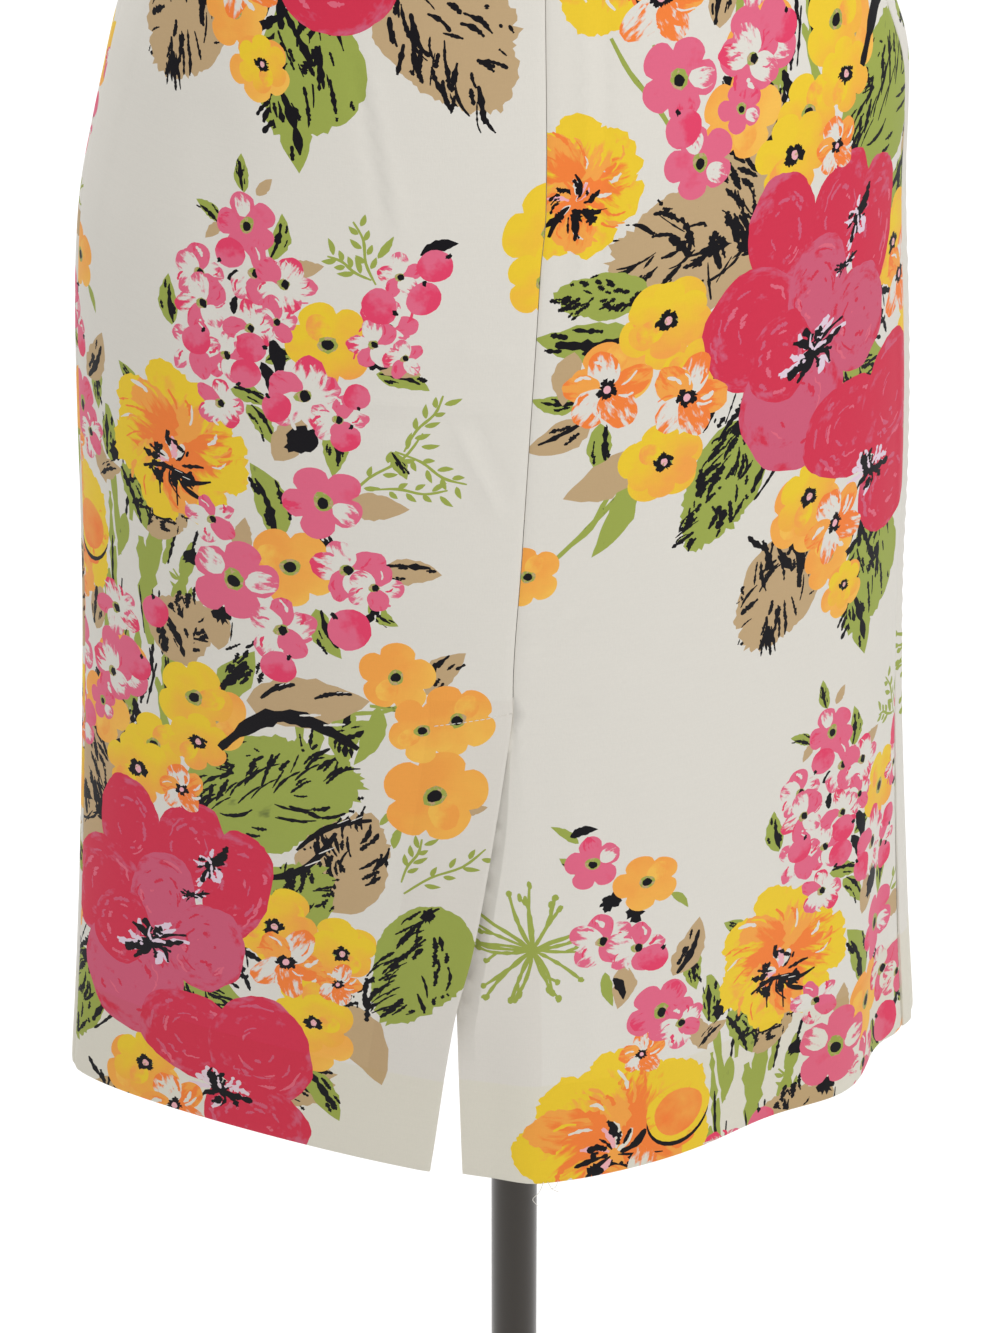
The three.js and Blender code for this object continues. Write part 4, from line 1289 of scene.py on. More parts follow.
def print_shapes(pattern):
    """The bouquet's shapes at each place where the print repeats on this panel."""
    low = np.array([pattern.left_edge.min(), pattern.bottom])
    high = np.array([pattern.right_edge.max(), pattern.top])
    placed = list(pattern.extra)
    for at in pattern.bouquets:
        for shape in bouquet:
            points = shape["points"] + at
            if (points.max(0) < low).any() or (points.min(0) > high).any():
                continue
            x, y, size, angle = shape["place"]
            placed.append(dict(shape, points=points, place=(x + at[0], y + at[1], size, angle)))
    return placed


def inside(points, ring):
    """Which points lie inside a closed outline."""
    x0, y0 = ring[:, 0], ring[:, 1]
    x1, y1 = np.roll(x0, -1), np.roll(y0, -1)
    climb = np.where(y1 == y0, 1.0, y1 - y0)
    result = np.zeros(len(points), bool)
    for start in range(0, len(points), BATCH):
        batch = slice(start, start + BATCH)
        x, y = points[batch, 0, None], points[batch, 1, None]
        crosses = ((y0 > y) != (y1 > y)) & (x < x0 + (y - y0) * (x1 - x0) / climb)
        result[batch] = crosses.sum(1) % 2 == 1
    return result


def joined(rings):
    """The points of all the outlines in one array, and the edges that close each outline."""
    edges, start = [], 0
    for ring in rings:
        numbers = start + np.arange(len(ring))
        edges += np.stack([numbers, np.roll(numbers, -1)], -1).tolist()
        start += len(ring)
    return np.concatenate(rings), edges


def triangulate(points, edges, border):
    """Triangles inside a border that keep to every edge."""
    vertices = [Vector(point) for point in points]
    flat, _, triangles, _, _, _ = delaunay_2d_cdt(vertices, edges, [], 0, 1e-4, False)
    flat = np.array([tuple(point) for point in flat])
    triangles = np.array(triangles)
    triangles = triangles[inside(flat[triangles].mean(1), border)]
    used, renumbered = np.unique(triangles, return_inverse=True)
    return flat[used], renumbered.reshape(-1, 3)


def topmost(flat, triangles, shapes):
    """For each triangle the number of the shape printed last on it, or -1."""
    middles = flat[triangles].mean(1)
    top = np.full(len(triangles), -1)
    order = np.argsort(middles[:, 1])
    levels = middles[order, 1]
    for number, shape in enumerate(shapes):
        low, high = shape["points"].min(0), shape["points"].max(0)
        first, last = np.searchsorted(levels, [low[1], high[1]])
        near = order[first:last]
        near = near[(middles[near, 0] >= low[0]) & (middles[near, 0] <= high[0])]
        if len(near):
            top[near[inside(middles[near], shape["points"])]] = number
    return top


def looks_of(shapes, top):
    """A number for each triangle's look: shapes of one plain colour count as the same."""
    first_of = {}
    looks = [number if sum(shape["cover"]) else first_of.setdefault(tuple(shape["colour"]), number)
             for number, shape in enumerate(shapes)]
    return np.array(looks + [-1])[top]


def thinned(points, edges, border_count):
    """The showing edges without the points that lie almost in line with both neighbours."""
    nearby = [[] for _ in points]
    for start, end in edges:
        nearby[start].append(end)
        nearby[end].append(start)
    fixed = set(np.ravel(edges[:border_count]).tolist())
    for number, point in enumerate(points):
        if len(nearby[number]) != 2 or number in fixed:
            continue
        one, other = nearby[number]
        run, part = points[other] - points[one], point - points[one]
        length = math.hypot(*run)
        if other in nearby[one] or not 0.01 < length < LONGEST_EDGE \
                or abs(run[0] * part[1] - run[1] * part[0]) > LINE_SLACK * length:
            continue
        nearby[one][nearby[one].index(number)] = other
        nearby[other][nearby[other].index(number)] = one
        nearby[number] = []
        fixed.update((one, other))
    return [(start, end) for start, ends in enumerate(nearby) for end in ends if start < end]


def sides_of(triangles):
    return np.concatenate([triangles[:, [0, 1]], triangles[:, [1, 2]], triangles[:, [2, 0]]])


def showing_edges(flat, triangles, looks):
    """The panel's border and the edges where the print's look changes, with their points."""
    edges = np.sort(sides_of(triangles), 1)
    shape = np.tile(looks, 3)
    order = np.lexsort((shape, edges[:, 1], edges[:, 0]))
    edges, shape = edges[order], shape[order]
    twin = (edges[1:] == edges[:-1]).all(1)
    alone = ~np.append(twin, False) & ~np.append(False, twin)
    changes = np.append(twin & (shape[1:] != shape[:-1]), False)
    border_count = int(alone.sum())
    edges = np.concatenate([edges[alone], edges[changes]])
    edges = np.array(thinned(flat, edges.tolist(), border_count))
    used, renumbered = np.unique(edges, return_inverse=True)
    return flat[used], renumbered.reshape(-1, 2).tolist()


def border_loop(triangles):
    """The corner numbers round the outside of a sheet of triangles, in order."""
    edges = set(map(tuple, sides_of(triangles).tolist()))
    following = {start: end for start, end in edges if (end, start) not in edges}
    loop = [min(following)]
    while following[loop[-1]] != loop[0]:
        loop.append(following[loop[-1]])
    return loop


print("an outline may be thinned by", LINE_SLACK, "mm")


# %% Wrap a flat panel round the form
CLOTH_WALL = 0.8
TURNED_WALL = 0.7
BAND_WALL = 1.4
TURNED_EDGE = 1.6
NORMAL_STEP = 0.25


def past(distance):
    """0 before an edge of turned-in cloth, 1 past it, and even across the edge."""
    return np.clip(distance / TURNED_EDGE + 0.5, 0, 1)


def inner_depth(pattern, right, up):
    """How far the cloth's inner face lies behind its outer one: deeper where it is turned in."""
    if pattern is band:
        return np.full_like(right, BAND_WALL)
    turned_up = past(HEM_ALLOWANCE - up)
    if pattern is left_back:
        turned_up = np.maximum(turned_up, past(right + FACING_WIDTH) * past(UNDERLAP_TOP - up))
    return CLOTH_WALL + TURNED_WALL * turned_up


def wrapped(pattern, right, up, depth=0.0):
    rise = relief(pattern, right, up) - depth
    return skin(pattern.turn_of(right, up), up, rise)


def wrapped_with_normals(pattern, right, up, depth=0.0):
    """Points on the form, and the way the cloth faces there, from points close by."""
    low_right = np.maximum(right - NORMAL_STEP, left_limit(pattern, up))
    high_right = np.minimum(right + NORMAL_STEP, pattern.edge(1, up))
    low_up = np.maximum(up - NORMAL_STEP, pattern.bottom)
    high_up = np.minimum(up + NORMAL_STEP, pattern.top)
    across = wrapped(pattern, high_right, up, depth) - wrapped(pattern, low_right, up, depth)
    along = wrapped(pattern, right, high_up, depth) - wrapped(pattern, right, low_up, depth)
    normal = np.cross(across, along)
    normal /= np.maximum(np.linalg.norm(normal, axis=1, keepdims=True), 1e-9)
    return wrapped(pattern, right, up, depth), normal


def link(obj):
    bpy.context.collection.objects.link(obj)
    return obj


def corner_colours(mesh, name, values):
    layer = mesh.attributes.new(name, "FLOAT_COLOR", "CORNER")
    rgba = np.ones((len(values), 4), np.float32)
    rgba[:, :values.shape[1]] = values
    layer.data.foreach_set("color", rgba.ravel())


print("the cloth is", CLOTH_WALL, "mm thick and", round(CLOTH_WALL + TURNED_WALL, 1), "mm where turned in")


# %% Build a panel's mesh
def write_print(mesh, shapes, top, flat, outer, strip_corners):
    """The print's colours and brush marks, written on the corners of the outer triangles."""
    count = len(mesh.loops)
    colours = {name: np.zeros((count, 3)) for name in ("tone_a", "tone_b", "local", "brush", "grain")}
    colours["grain"][:] = 1
    for name in ("tone_a", "tone_b"):
        colours[name][:] = REVERSE
        colours[name][:3 * len(outer)] = colours[name][count - strip_corners:] = CREAM
    for number, shape in enumerate(shapes):
        faces = np.flatnonzero(top == number)
        if not len(faces):
            continue
        at = (3 * faces[:, None] + np.arange(3)).ravel()
        x, y, size, angle = shape["place"]
        away = (flat[outer[faces].ravel()] - (x, y)) / size
        cosine, sine = math.cos(angle), math.sin(angle)
        colours["local"][at] = np.stack([away[:, 0] * cosine + away[:, 1] * sine,
                                         away[:, 1] * cosine - away[:, 0] * sine,
                                         np.full(len(at), number * 0.37 % 17)], -1)
        colours["tone_a"][at], colours["tone_b"][at] = shape["colour"], shape["second"]
        colours["brush"][at] = (*shape["cover"], shape["mode"])
        colours["grain"][at] = (*shape["grain"], shape["soft"])
    for name, values in colours.items():
        corner_colours(mesh, name, values)


def panel_mesh(pattern):
    """A closed thin shell with its print written on the corners of its outer triangles."""
    shapes = print_shapes(pattern)
    border = panel_edges(pattern)
    painted, rough = triangulate(*joined([border] + [shape["points"] for shape in shapes]), border)
    looks = looks_of(shapes, topmost(painted, rough, shapes))
    points, edges = showing_edges(painted, rough, looks)
    points = np.concatenate([points, grid_points(pattern, GRID)])
    flat, outer = triangulate(points, edges, border)
    top = topmost(flat, outer, shapes)
    loop = border_loop(outer)
    ring = flat[loop]
    points, edges = joined([ring])
    points = np.concatenate([points, grid_points(pattern, 2 * GRID)])
    inner_flat, inner = triangulate(points, edges, ring)
    where = {(round(x, 3), round(y, 3)): number for number, (x, y) in enumerate(inner_flat)}
    inner_loop = [where[(round(x, 3), round(y, 3))] for x, y in ring]

    outer_points, outer_normals = wrapped_with_normals(pattern, flat[:, 0], flat[:, 1])
    depth = inner_depth(pattern, inner_flat[:, 0], inner_flat[:, 1])
    inner_points, inner_normals = wrapped_with_normals(pattern, inner_flat[:, 0], inner_flat[:, 1], depth)
    points = np.concatenate([outer_points, inner_points])
    base = len(outer_points)
    following = loop[1:] + loop[:1]
    inner_following = inner_loop[1:] + inner_loop[:1]
    strips = [(end, start, base + inner_start, base + inner_end) for start, end, inner_start, inner_end
              in zip(loop, following, inner_loop, inner_following)]
    faces = outer.tolist() + (inner[:, ::-1] + base).tolist() + strips
    mesh = bpy.data.meshes.new(pattern.name)
    mesh.from_pydata((points * MM).tolist(), [], faces)

    def strip_normal(strip):
        across = np.cross(points[strip[1]] - points[strip[0]], points[strip[2]] - points[strip[1]])
        return across / max(np.linalg.norm(across), 1e-9)

    side_normals = np.repeat([strip_normal(strip) for strip in strips], 4, 0)
    normals = np.concatenate([outer_normals[outer.ravel()], -inner_normals[inner[:, ::-1].ravel()],
                              side_normals])
    mesh.polygons.foreach_set("use_smooth", [True] * len(mesh.polygons))

    flat_all = np.concatenate([flat, inner_flat])
    corners = np.empty(len(mesh.loops), np.int32)
    mesh.loops.foreach_get("vertex_index", corners)
    layer = mesh.uv_layers.new(name="cloth")
    layer.data.foreach_set("uv", (flat_all[corners] * MM).astype(np.float32).ravel())

    write_print(mesh, shapes, top, flat, outer, 4 * len(strips))
    mesh.normals_split_custom_set(normals.tolist())
    print(pattern.name, "has", len(outer), "printed triangles and", len(inner), "inner ones")
    return mesh


def flat_area(ring):
    x, y = ring[:, 0], ring[:, 1]
    return abs((x * np.roll(y, -1) - y * np.roll(x, -1)).sum()) / 2 * MM * MM


# %% [markdown]
# ## Finishes
# Node maths is written with ordinary signs: a wire carries a number and knows how to add,
# multiply and so on. Every other node comes from one helper.

# %% Wires and a helper for nodes
class Wire:
    def __init__(self, graph, socket):
        self.graph, self.socket = graph, socket

    def math(self, operation, *others):
        return self.graph.node("ShaderNodeMath", {"operation": operation}, [self, *others])

    def clamp(self):
        return self.math("MAXIMUM", 0.0).math("MINIMUM", 1.0)

    def __add__(self, other):
        return self.math("ADD", other)

    def __sub__(self, other):
        return self.math("SUBTRACT", other)

    def __mul__(self, other):
        return self.math("MULTIPLY", other)

    def __truediv__(self, other):
        return self.math("DIVIDE", other)

    def __pow__(self, other):
        return self.math("POWER", other)

    def __rsub__(self, other):
        return self * -1 + other

    def __rtruediv__(self, other):
        return (self ** -1) * other

    __radd__ = __add__
    __rmul__ = __mul__


class Graph:
    """A material whose nodes are made by calls."""

    def __init__(self, name):
        self.material = bpy.data.materials.new(name)
        self.material.use_nodes = True
        self.tree = self.material.node_tree
        self.tree.nodes.clear()

    def node(self, kind, settings=None, inputs=(), output=0):
        made = self.tree.nodes.new(kind)
        for name, value in (settings or {}).items():
            setattr(made, name, value)
        pairs = inputs.items() if isinstance(inputs, dict) else enumerate(inputs)
        for name, value in pairs:
            if isinstance(value, Wire):
                self.tree.links.new(value.socket, made.inputs[name])
            elif value is not None:
                made.inputs[name].default_value = value
        return Wire(self, made.outputs[output]) if len(made.outputs) else None

    def split(self, vector):
        first = self.node("ShaderNodeSeparateXYZ", {}, [vector])
        outputs = first.socket.node.outputs
        return [Wire(self, outputs[number]) for number in range(3)]

    def join(self, x, y, z):
        return self.node("ShaderNodeCombineXYZ", {}, [x, y, z])

    def attribute(self, name):
        return self.node("ShaderNodeAttribute", {"attribute_name": name}, (), "Color")

    def noise(self, vector, scale, detail=2.0, roughness=0.5, seed=0.0):
        return self.node("ShaderNodeTexNoise", {"noise_dimensions": "4D"},
                         {"Vector": vector, "W": seed, "Scale": scale, "Detail": detail,
                          "Roughness": roughness})

    def mix_colour(self, factor, first, second, blend="MIX"):
        return self.node("ShaderNodeMix", {"data_type": "RGBA", "blend_type": blend},
                         {0: factor, 6: first, 7: second}, 2)

    def bump(self, height, strength, distance):
        return self.node("ShaderNodeBump", {}, {"Strength": strength, "Distance": distance,
                                                "Height": height})

    def finish(self, **inputs):
        shader = self.node("ShaderNodeBsdfPrincipled", {},
                           {name.replace("_", " "): value for name, value in inputs.items()})
        self.node("ShaderNodeOutputMaterial", {}, {"Surface": shader})
        return self.material


print("a wire adds, subtracts, multiplies, divides and raises to a power")

# %% [markdown]
# ## Printed cotton sateen
# The brush drags streaks of a second colour over each shape: round flowers get rays from
# their middle, leaves get streaks along their length. The weave shows as fine cross threads,
# some a little thicker than others.

# %% The printed cotton
DRY_BRUSH_SPREAD = 0.52
EDGE_SHARPNESS = 900
WEFT_SCALE = (420, 1700)
SLUB_SCALE = (45, 800)
WARP_SCALE = (1700, 320)


def printed_cotton(name, facing_and_painted_shade=(0, 0, 0)):
    """The facing, and on the right back the underlap with painted shade in the vent's fold, runs from and
    to these places across, and up to this height, in metres.
    """
    graph = Graph(name)
    x, y, seed = graph.split(graph.attribute("local"))
    cover_start, cover_end, mode = graph.split(graph.attribute("brush"))
    grain_x, grain_y, soft = graph.split(graph.attribute("grain"))
    reach = (x * x + y * y).math("SQRT")
    nearness = mode / (reach + 0.03)
    straight = 1 - mode
    streak = graph.join(x * grain_x * (nearness + straight),
                        y * (nearness * grain_x + straight * grain_y),
                        mode * reach * grain_y)
    brush = graph.noise(streak, 1.0, 3.0, 0.62, seed)
    along = mode * reach + straight * (x * 0.5 + 0.5)
    cover = cover_start + (cover_end - cover_start) * along
    limit = 0.5 + (0.5 - cover) * DRY_BRUSH_SPREAD
    mask = ((brush - limit) / (soft * 2 + 0.005) + 0.5).clamp()
    mask = mask * (cover_start + cover_end).math("GREATER_THAN", 0.001)
    painted = graph.mix_colour(mask, graph.attribute("tone_a"), graph.attribute("tone_b"))

    cloth = graph.node("ShaderNodeUVMap", {"uv_map": "cloth"})
    across, up, _ = graph.split(cloth)
    hem, past_start, before_end, below_top = (
        (distance * EDGE_SHARPNESS).clamp() for distance in
        (HEM_ALLOWANCE * MM - up, across - facing_and_painted_shade[0], facing_and_painted_shade[1] - across, facing_and_painted_shade[2] - up))
    doubled_and_painted_shade = hem.math("MAXIMUM", past_start * before_end * below_top)

    def threads_of(scale, *look):
        return graph.noise(graph.join(across * scale[0], up * scale[1], 0.0), 1.0, *look)

    weft = threads_of(WEFT_SCALE, 2.0, 0.6, 3.0)
    slubs = threads_of(SLUB_SCALE, 1.0, 0.5, 8.0)
    warp = threads_of(WARP_SCALE, 2.0, 0.6, 5.0)
    # Painted shade: the doubled cloth at the hem and the facings is darker and warmer, partly its turned-in
    # layer showing through and partly painted shade. The extra blue taken out in the hem band is painted
    # warm shade low on the skirt.
    shade = (0.925 + 0.06 * weft + 0.06 * warp + 0.03 * slubs) * (1 - 0.03 * doubled_and_painted_shade)
    weave = graph.join(shade, shade * (1 - 0.01 * doubled_and_painted_shade), shade * (1 - 0.012 * doubled_and_painted_shade - 0.06 * hem))
    colour = graph.mix_colour(1.0, painted, weave, "MULTIPLY")
    bump = graph.bump(weft * 0.45 + slubs * 0.2 + warp * 0.45 + doubled_and_painted_shade * 0.6, 0.35, 0.0003)
    return graph.finish(Base_Color=colour, Roughness=0.6, Normal=bump, Specular_IOR_Level=0.16,
                        Sheen_Weight=0.02, Sheen_Roughness=0.4)


def plain_finish(name, colour, roughness, metallic=0.0, grain=0.0, grain_scale=900.0, coat=0.0):
    """A plain colour with a fine grain that varies its shade and its surface."""
    graph = Graph(name)
    place = graph.node("ShaderNodeTexCoord", {}, (), "Object")
    noise = graph.noise(place, grain_scale, 2.0, 0.6, 2.0)
    shade = 1 - grain + 2 * grain * noise
    tinted = graph.mix_colour(1.0, (*colour, 1.0), graph.join(shade, shade, shade), "MULTIPLY")
    return graph.finish(Base_Color=tinted, Roughness=roughness, Metallic=metallic,
                        Normal=graph.bump(noise, 0.2, 0.0002), Coat_Weight=coat)


# The left back's facing is turned-in cloth showing through. On the right back the same darker, warmer tint
# covers the underlap up to 138 mm: its doubled cloth showing through, with painted shade in the vent's fold
# beside the flap.
VENT_FACING = (-FACING_WIDTH * MM, 0.01, UNDERLAP_TOP * MM)
UNDERLAP_SHADE = (-0.08, 0.0015, 138 * MM)
cottons = {
    left_back: printed_cotton("printed cotton, left back", VENT_FACING),
    right_back: printed_cotton("printed cotton, right back", UNDERLAP_SHADE),
    front: printed_cotton("printed cotton, front"),
    band: printed_cotton("printed cotton, waistband"),
}
thread_finish = plain_finish("sewing thread", CREAM, 0.7, grain=0.06)
linen = plain_finish("linen", paint(214, 204, 182), 0.9, grain=0.08, grain_scale=1400.0)
steel = plain_finish("dark painted steel", paint(50, 44, 37), 0.34, 0.35, 0.04, 400.0, 0.3)
nickel = plain_finish("nickel", paint(206, 202, 194), 0.28, 0.9, 0.03, 700.0)
nylon = plain_finish("nylon coil", paint(228, 224, 212), 0.45, grain=0.03)
print("materials:", ", ".join(material.name for material in bpy.data.materials[-9:]))

# %% [markdown]
# ## The panels
# Each panel stands for its solid. Once the trimmings are made, the size and area of its flat
# pattern are printed, without the hem and the seam allowances that are turned in.

# %% Make the panels
def declare(piece, node=None):
    """Every piece stands still with the stand; some stand for a solid of the frame."""
    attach(piece, "root")
    if node:
        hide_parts(node)
    return piece


def make_panel(pattern, node):
    piece = link(bpy.data.objects.new(pattern.name, panel_mesh(pattern)))
    piece.data.materials.append(cottons[pattern])
    return declare(piece, node)


panels = {
    pattern.name: make_panel(pattern, node)
    for pattern, node in ((left_back, "back_left_panel"), (right_back, "back_right_panel"),
                          (front, "front_panel"), (band, "waistband"))
}


def declare_cut(pattern):
    ring = panel_edges(pattern)
    size = np.ptp(ring, axis=0) * MM
    float(flat_area(ring))
    print(pattern.name, "shows", np.round(size / MM), "mm,", round(flat_area(ring), 4), "m2")


# %% [markdown]
# ## The dress form and its stand
# The form is a limbless torso in linen. Inside the skirt it keeps clear of the cloth, and
# at the waist it carries the band. Its stand is a steel tube on a turned plate.

# %% Measures of the form
# Each ring of the form: its height above the hem, half its width, its back and its front depth.
LOWER_FORM = [
    (330, 60, 45, 42), (331, 118, 78, 72), (338, 148, 95, 88), (356, 167, 106, 99),
    (400, 174, 114, 108), (450, 172, 115, 108), (500, 165, 110, 103), (550, 155, 103, 97),
    (590, 147, 98, 94), (616, 142.6, 96, 93),
]
UPPER_FORM = [
    (676, 142, 98, 96), (720, 149, 103, 100), (770, 157, 107, 112), (820, 163, 109, 129),
    (850, 165, 110, 131), (890, 167, 111, 121), (930, 172, 110, 105), (970, 181, 103, 88),
    (1000, 184, 90, 72), (1022, 168, 78, 58), (1040, 132, 68, 50), (1055, 88, 60, 48),
    (1072, 62, 56, 48), (1110, 56, 54, 50), (1118, 50, 48, 45), (1120, 25, 24, 22),
]
BAND_ROWS = (624, 636, 656)
FORM_COLUMNS = 96
BAND_SEAT = 2.0
SLIDER_ROOM = 2.6
SLIDER_ROOM_WIDTH = 14
RINGS_BETWEEN = 3


def form_rings():
    turns = np.arange(FORM_COLUMNS) * 360 / FORM_COLUMNS
    turns = np.where(turns > 180, turns - 360, turns)
    across, along = np.sin(np.radians(turns)), np.cos(np.radians(turns))

    def oval_ring(height, side, back, front_depth, centre=0.0):
        depth = np.where(along > 0, back, front_depth)
        level = np.full(FORM_COLUMNS, HEM + height)
        return np.stack([centre + side * across, depth * along, level], -1)

    inside_band = -(BAND_SEAT + SLIDER_ROOM * ridge(turns, SLIDER_ROOM_WIDTH))
    return [oval_ring(*row, section_size(row[0])[0]) for row in LOWER_FORM] \
        + [skin(turns, np.full(FORM_COLUMNS, float(height)), inside_band) for height in BAND_ROWS] \
        + [oval_ring(*row) for row in UPPER_FORM]


def smooth_rings(rings):
    """More rings between the given ones, along smooth curves."""
    rings = np.array(rings)
    parts = np.arange(RINGS_BETWEEN) / RINGS_BETWEEN
    return [smooth_between(rings, number, part) for number in range(len(rings) - 1) for part in parts] \
        + [rings[-1]]


print("the form has", len(smooth_rings(form_rings())), "rings")


# %% Closed bodies through rings


def ringed_piece(name, rings, material, smooth=True):
    """A closed body through rings with equal numbers of points, from the lowest up."""
    around = len(rings[0])
    last = (len(rings) - 1) * around
    points = np.concatenate(rings) * MM
    faces = []
    for first in range(0, last, around):
        for place in range(around):
            a, b = first + place, first + (place + 1) % around
            faces.append((a, b, b + around, a + around))
    faces.append(tuple(range(around))[::-1])
    faces.append(tuple(range(last, last + around)))
    mesh = bpy.data.meshes.new(name)
    mesh.from_pydata(points.tolist(), [], faces)
    mesh.polygons.foreach_set("use_smooth", [smooth] * len(mesh.polygons))
    working = bmesh.new()
    working.from_mesh(mesh)
    bmesh.ops.recalc_face_normals(working, faces=working.faces)
    working.to_mesh(mesh)
    working.free()
    mesh.materials.append(material)
    return link(bpy.data.objects.new(name, mesh))


def turned_piece(name, profile, material, sides=96):
    """A round body from its profile: a radius at each height."""
    angles = np.arange(sides) * 2 * math.pi / sides
    rings = [np.stack([radius * np.cos(angles), radius * np.sin(angles), np.full(sides, float(z))], -1)
             for radius, z in profile]
    return ringed_piece(name, rings, material)


form = ringed_piece("dress_form", smooth_rings(form_rings()), linen)
declare(form, "form_torso")
print("the form has", len(form.data.polygons), "faces")

# %% Pole, base and the zip's hard pieces
POLE_RADIUS = 11.5
BASE_RADIUS = 200
BASE_TOP = 20
pole_top = HEM + LOWER_FORM[0][0] - 0.3
pole = turned_piece("stand_pole_tube", [
    (POLE_RADIUS - 1, BASE_TOP + 0.3), (POLE_RADIUS, BASE_TOP + 1.3), (POLE_RADIUS, BASE_TOP + 4),
    (POLE_RADIUS, pole_top - 4), (POLE_RADIUS, pole_top - 1), (POLE_RADIUS - 1, pole_top),
], steel, 64)
declare(pole, "stand_pole")
base = turned_piece("stand_base_plate", [
    (1, 0), (BASE_RADIUS - 2, 0), (BASE_RADIUS - 0.6, 0.6), (BASE_RADIUS, 2), (BASE_RADIUS, 6),
    (BASE_RADIUS - 0.8, 7.8), (BASE_RADIUS - 4, 9), (BASE_RADIUS * 0.85, 11), (BASE_RADIUS * 0.7, 13),
    (BASE_RADIUS * 0.5, 15), (BASE_RADIUS * 0.35, 17), (46, 18.6), (40, 19.6), (36, BASE_TOP),
    (1, BASE_TOP),
], steel)
declare(base, "stand_base")
for node in ("zip_slider", "zip_pull"):
    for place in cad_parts[node].material_slots:
        place.material = nickel

# %% [markdown]
# ## Stitches and the zip's coil
# Both are one small shape repeated along a path. A node tree sets the shape at equal steps,
# with a little seeded unevenness, and the result is kept as a plain mesh.

# %% Repeat a small bead along a path
def bead_tree():
    tree = bpy.data.node_groups.new("beads along a path", "GeometryNodeTree")
    face = tree.interface
    face.new_socket("Geometry", in_out="OUTPUT", socket_type="NodeSocketGeometry")
    face.new_socket("Geometry", in_out="INPUT", socket_type="NodeSocketGeometry")
    for name in ("Spacing", "Length", "Width", "Unevenness"):
        face.new_socket(name, in_out="INPUT", socket_type="NodeSocketFloat")
    face.new_socket("Seed", in_out="INPUT", socket_type="NodeSocketInt")
    face.new_socket("Material", in_out="INPUT", socket_type="NodeSocketMaterial")

    def add(kind, inputs, **settings):
        node = tree.nodes.new(kind)
        for name, value in settings.items():
            setattr(node, name, value)
        for name, value in inputs.items():
            if isinstance(value, bpy.types.NodeSocket):
                tree.links.new(value, node.inputs[name])
            else:
                node.inputs[name].default_value = value
        return node.outputs

    given = add("NodeGroupInput", {})
    points = add("GeometryNodeCurveToPoints", {"Curve": given["Geometry"], "Length": given["Spacing"]},
                 mode="LENGTH")
    bead = add("GeometryNodeMeshUVSphere", {"Segments": 8, "Rings": 6, "Radius": 0.5})
    size = add("ShaderNodeCombineXYZ", {"X": given["Width"], "Y": given["Width"], "Z": given["Length"]})
    shaped = add("GeometryNodeTransform", {"Geometry": bead["Mesh"], "Scale": size["Vector"]})
    low, high = (add("ShaderNodeMath", {0: 1.0, 1: given["Unevenness"]}, operation=operation)
                 for operation in ("SUBTRACT", "ADD"))
    uneven = add("FunctionNodeRandomValue", {2: low[0], 3: high[0], "Seed": given["Seed"]},
                 data_type="FLOAT")
    copies = add("GeometryNodeInstanceOnPoints", {
        "Points": points["Points"], "Rotation": points["Rotation"],
        "Instance": shaped["Geometry"], "Scale": uneven[1],
    })
    real = add("GeometryNodeRealizeInstances", {"Geometry": copies["Instances"]})
    finish = add("GeometryNodeSetMaterial", {"Geometry": real["Geometry"], "Material": given["Material"]})
    add("NodeGroupOutput", {"Geometry": finish["Geometry"]})
    return tree


BEADS = bead_tree()
print("the bead tree has", len(BEADS.nodes), "nodes")


# %% Keep the beads as a plain mesh
def beads(name, path, spacing, length, width, material, seed, uneven):
    """A plain mesh of beads along a path given in millimetres."""
    curve = bpy.data.curves.new(name, "CURVE")
    curve.dimensions = "3D"
    spline = curve.splines.new("POLY")
    spline.points.add(len(path) - 1)
    for place, point in zip(spline.points, path):
        place.co = (*(np.asarray(point) * MM), 1.0)
    carrier = link(bpy.data.objects.new(name, curve))
    modifier = carrier.modifiers.new("beads", "NODES")
    modifier.node_group = BEADS
    sizes = {"Spacing": spacing * MM, "Length": length * MM, "Width": width * MM,
             "Unevenness": uneven, "Seed": seed, "Material": material}
    for item in BEADS.interface.items_tree:
        if item.in_out == "INPUT" and item.name in sizes:
            modifier[item.identifier] = sizes[item.name]
    graph = bpy.context.evaluated_depsgraph_get()
    mesh = bpy.data.meshes.new_from_object(carrier.evaluated_get(graph), depsgraph=graph)
    mesh.name = name
    bpy.data.objects.remove(carrier)
    bpy.data.curves.remove(curve)
    mesh.polygons.foreach_set("use_smooth", [True] * len(mesh.polygons))
    return declare(link(bpy.data.objects.new(name, mesh)))


def on_panel(pattern, flat_points, proud):
    """Points that stand a little proud of a panel's face."""
    flat_points = np.array(flat_points, float)
    return wrapped(pattern, flat_points[:, 0], flat_points[:, 1], -proud)


vent_line = on_panel(left_back, np.linspace((-34, 250), (-0.8, 256), 30), 0.05)
bar = beads("vent_stitches", vent_line, 2.6, 2.1, 0.45, thread_finish, 4, 0.12)
print("the vent's stitches have", len(bar.data.polygons), "faces")

# %% The zip's coil and tapes
TAPE_TOP = WAIST_SEAM - 2
TAPE_WIDTH = 11
TAPE_WALL = 0.4
TAPE_DEPTH = 1.5
TAPE_ARC = 118
COIL_DEPTH = 2.6
seam_turn = turn_along(crease_at)


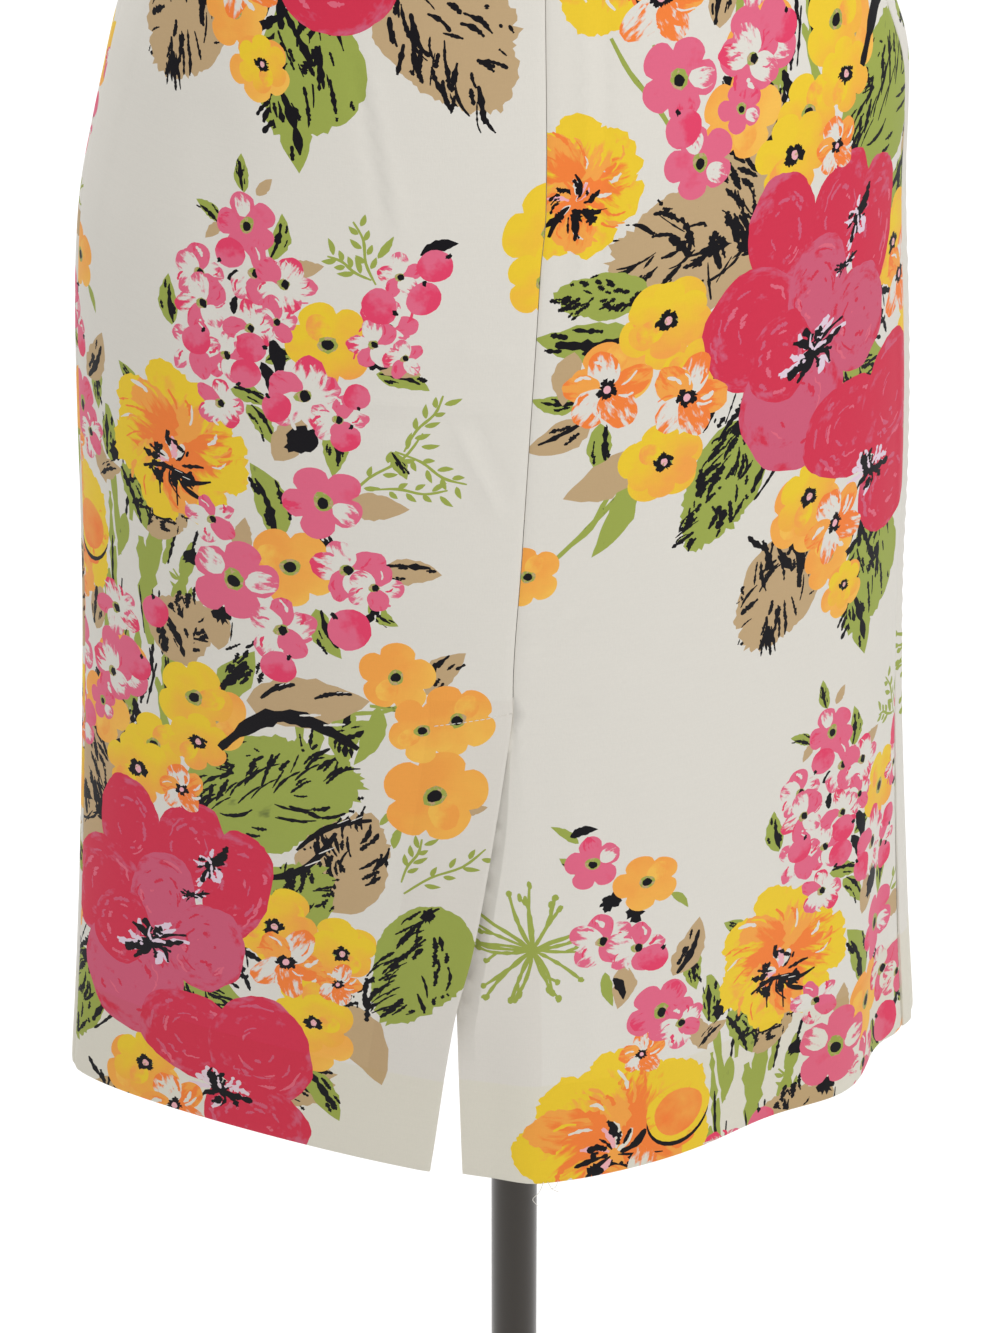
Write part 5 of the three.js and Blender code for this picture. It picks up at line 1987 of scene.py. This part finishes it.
def tape(name, side):
    """One side of the zip's woven tape, sewn inside the seam."""
    asides = side * np.array([0.4, TAPE_WIDTH / 2, TAPE_WIDTH])
    rings = []
    for height in np.linspace(ZIP_END - 12, TAPE_TOP, 46):
        turns = seam_turn(height) + np.degrees(asides / TAPE_ARC)
        level = np.full(3, height)
        near, far = (skin(turns, level, -depth) for depth in (TAPE_DEPTH, TAPE_DEPTH + TAPE_WALL))
        rings.append(np.concatenate([near, far[::-1]]))
    return declare(ringed_piece(name, rings, nylon, False))


coil_heights = np.linspace(ZIP_END - 6, TAPE_TOP, 60)
coil_turns = [seam_turn(height) for height in coil_heights]
coil = beads("zip_coil", skin(coil_turns, coil_heights, -COIL_DEPTH), 1.1, 0.8, 2.0, nylon, 2, 0.0)
tapes = [tape("zip_tape_left", 1), tape("zip_tape_right", -1)]
print("the zip's coil has", len(coil.data.polygons), "faces")


# %% Loose threads
SMOOTHINGS = 6
THREAD_SIDES = 6
THREAD_STEPS = 8


def thread(name, path, radius):
    """A loose end of thread, as a thin round tube."""
    along = np.linspace(0, len(path) - 1, THREAD_STEPS * (len(path) - 1) + 1)
    path = np.stack([np.interp(along, np.arange(len(path)), path[:, axis]) for axis in range(3)], -1)
    for _ in range(SMOOTHINGS):
        path[1:-1] = (path[:-2] + path[1:-1] * 2 + path[2:]) / 4
    run = np.gradient(path, axis=0)
    run /= np.linalg.norm(run, axis=1)[:, None]
    first = np.cross(run, (0.3, 1.0, 0.2))
    first /= np.linalg.norm(first, axis=1)[:, None]
    second = np.cross(run, first)
    angles = np.arange(THREAD_SIDES) * 2 * math.pi / THREAD_SIDES
    rings = [at + radius * (np.cos(angles)[:, None] * one + np.sin(angles)[:, None] * two)
             for at, one, two in zip(path, first, second)]
    return declare(ringed_piece(name, rings, thread_finish))


hem_at = on_panel(right_back, [(1.0, 1.0), (3.0, 1.0), (8.0, 1.0)], 0.2)
THREAD_ENDS = [
    ((0, 0, 0), (2, 1, -5), (6, 2, -8), (3, 2, -12)),
    ((0, 0, 0), (-2, 1, -4), (-5, 2, -5)),
    ((0, 0, 0), (1, 1, -3), (4, 1, -4)),
]
THREAD_RADII = (0.16, 0.16, 0.13)
threads = [
    thread(f"loose_thread_{number + 1}", hem_at[number] + THREAD_ENDS[number], THREAD_RADII[number])
    for number in range(3)
]
print("loose threads:", len(threads))

declare_cut(left_back)
declare_cut(right_back)
declare_cut(front)
declare_cut(band)

# %% [markdown]
# ## Floor and light
# A pale floor and three large soft lights, as in a catalogue studio.

# %% Floor, world and lamps
FLOOR_REACH = 30


def make_floor():
    mesh = bpy.data.meshes.new("floor")
    corners = [(x * FLOOR_REACH, y * FLOOR_REACH, 0) for x, y in ((-1, -1), (1, -1), (1, 1), (-1, 1))]
    mesh.from_pydata(corners, [], [(0, 1, 2, 3)])
    mesh.materials.append(plain_finish("floor", (0.93, 0.93, 0.93), 0.9))
    floor = link(bpy.data.objects.new("floor", mesh))


def lamp(name, place, target, size, power):
    """A square lamp at a place, turned towards its target; sizes in metres, power in watts."""
    data = bpy.data.lights.new(name, "AREA")
    data.size = size
    data.energy = power
    light = link(bpy.data.objects.new(name, data))
    light.location = place
    light.rotation_euler = (Vector(place) - Vector(target)).to_track_quat("Z", "Y").to_euler()


make_floor()
world = bpy.data.worlds.new("studio")
world.use_nodes = True
sky = world.node_tree.nodes["Background"].inputs
sky["Color"].default_value = (1, 1, 1, 1)
sky["Strength"].default_value = 0.5
bpy.context.scene.world = world
SKIRT_MIDDLE = (0, 0, 0.95)
lamp("key", (-1.6, 1.8, 2.1), SKIRT_MIDDLE, 0.9, 17)
lamp("top", (0.3, 1.3, 2.3), SKIRT_MIDDLE, 0.9, 8)
lamp("overhead", (0, -1.6, 3.2), (0, -1.5, 0), 3.4, 100)
bpy.context.scene.view_settings.view_transform = "Standard"
print("lamps:", len(bpy.data.lights))
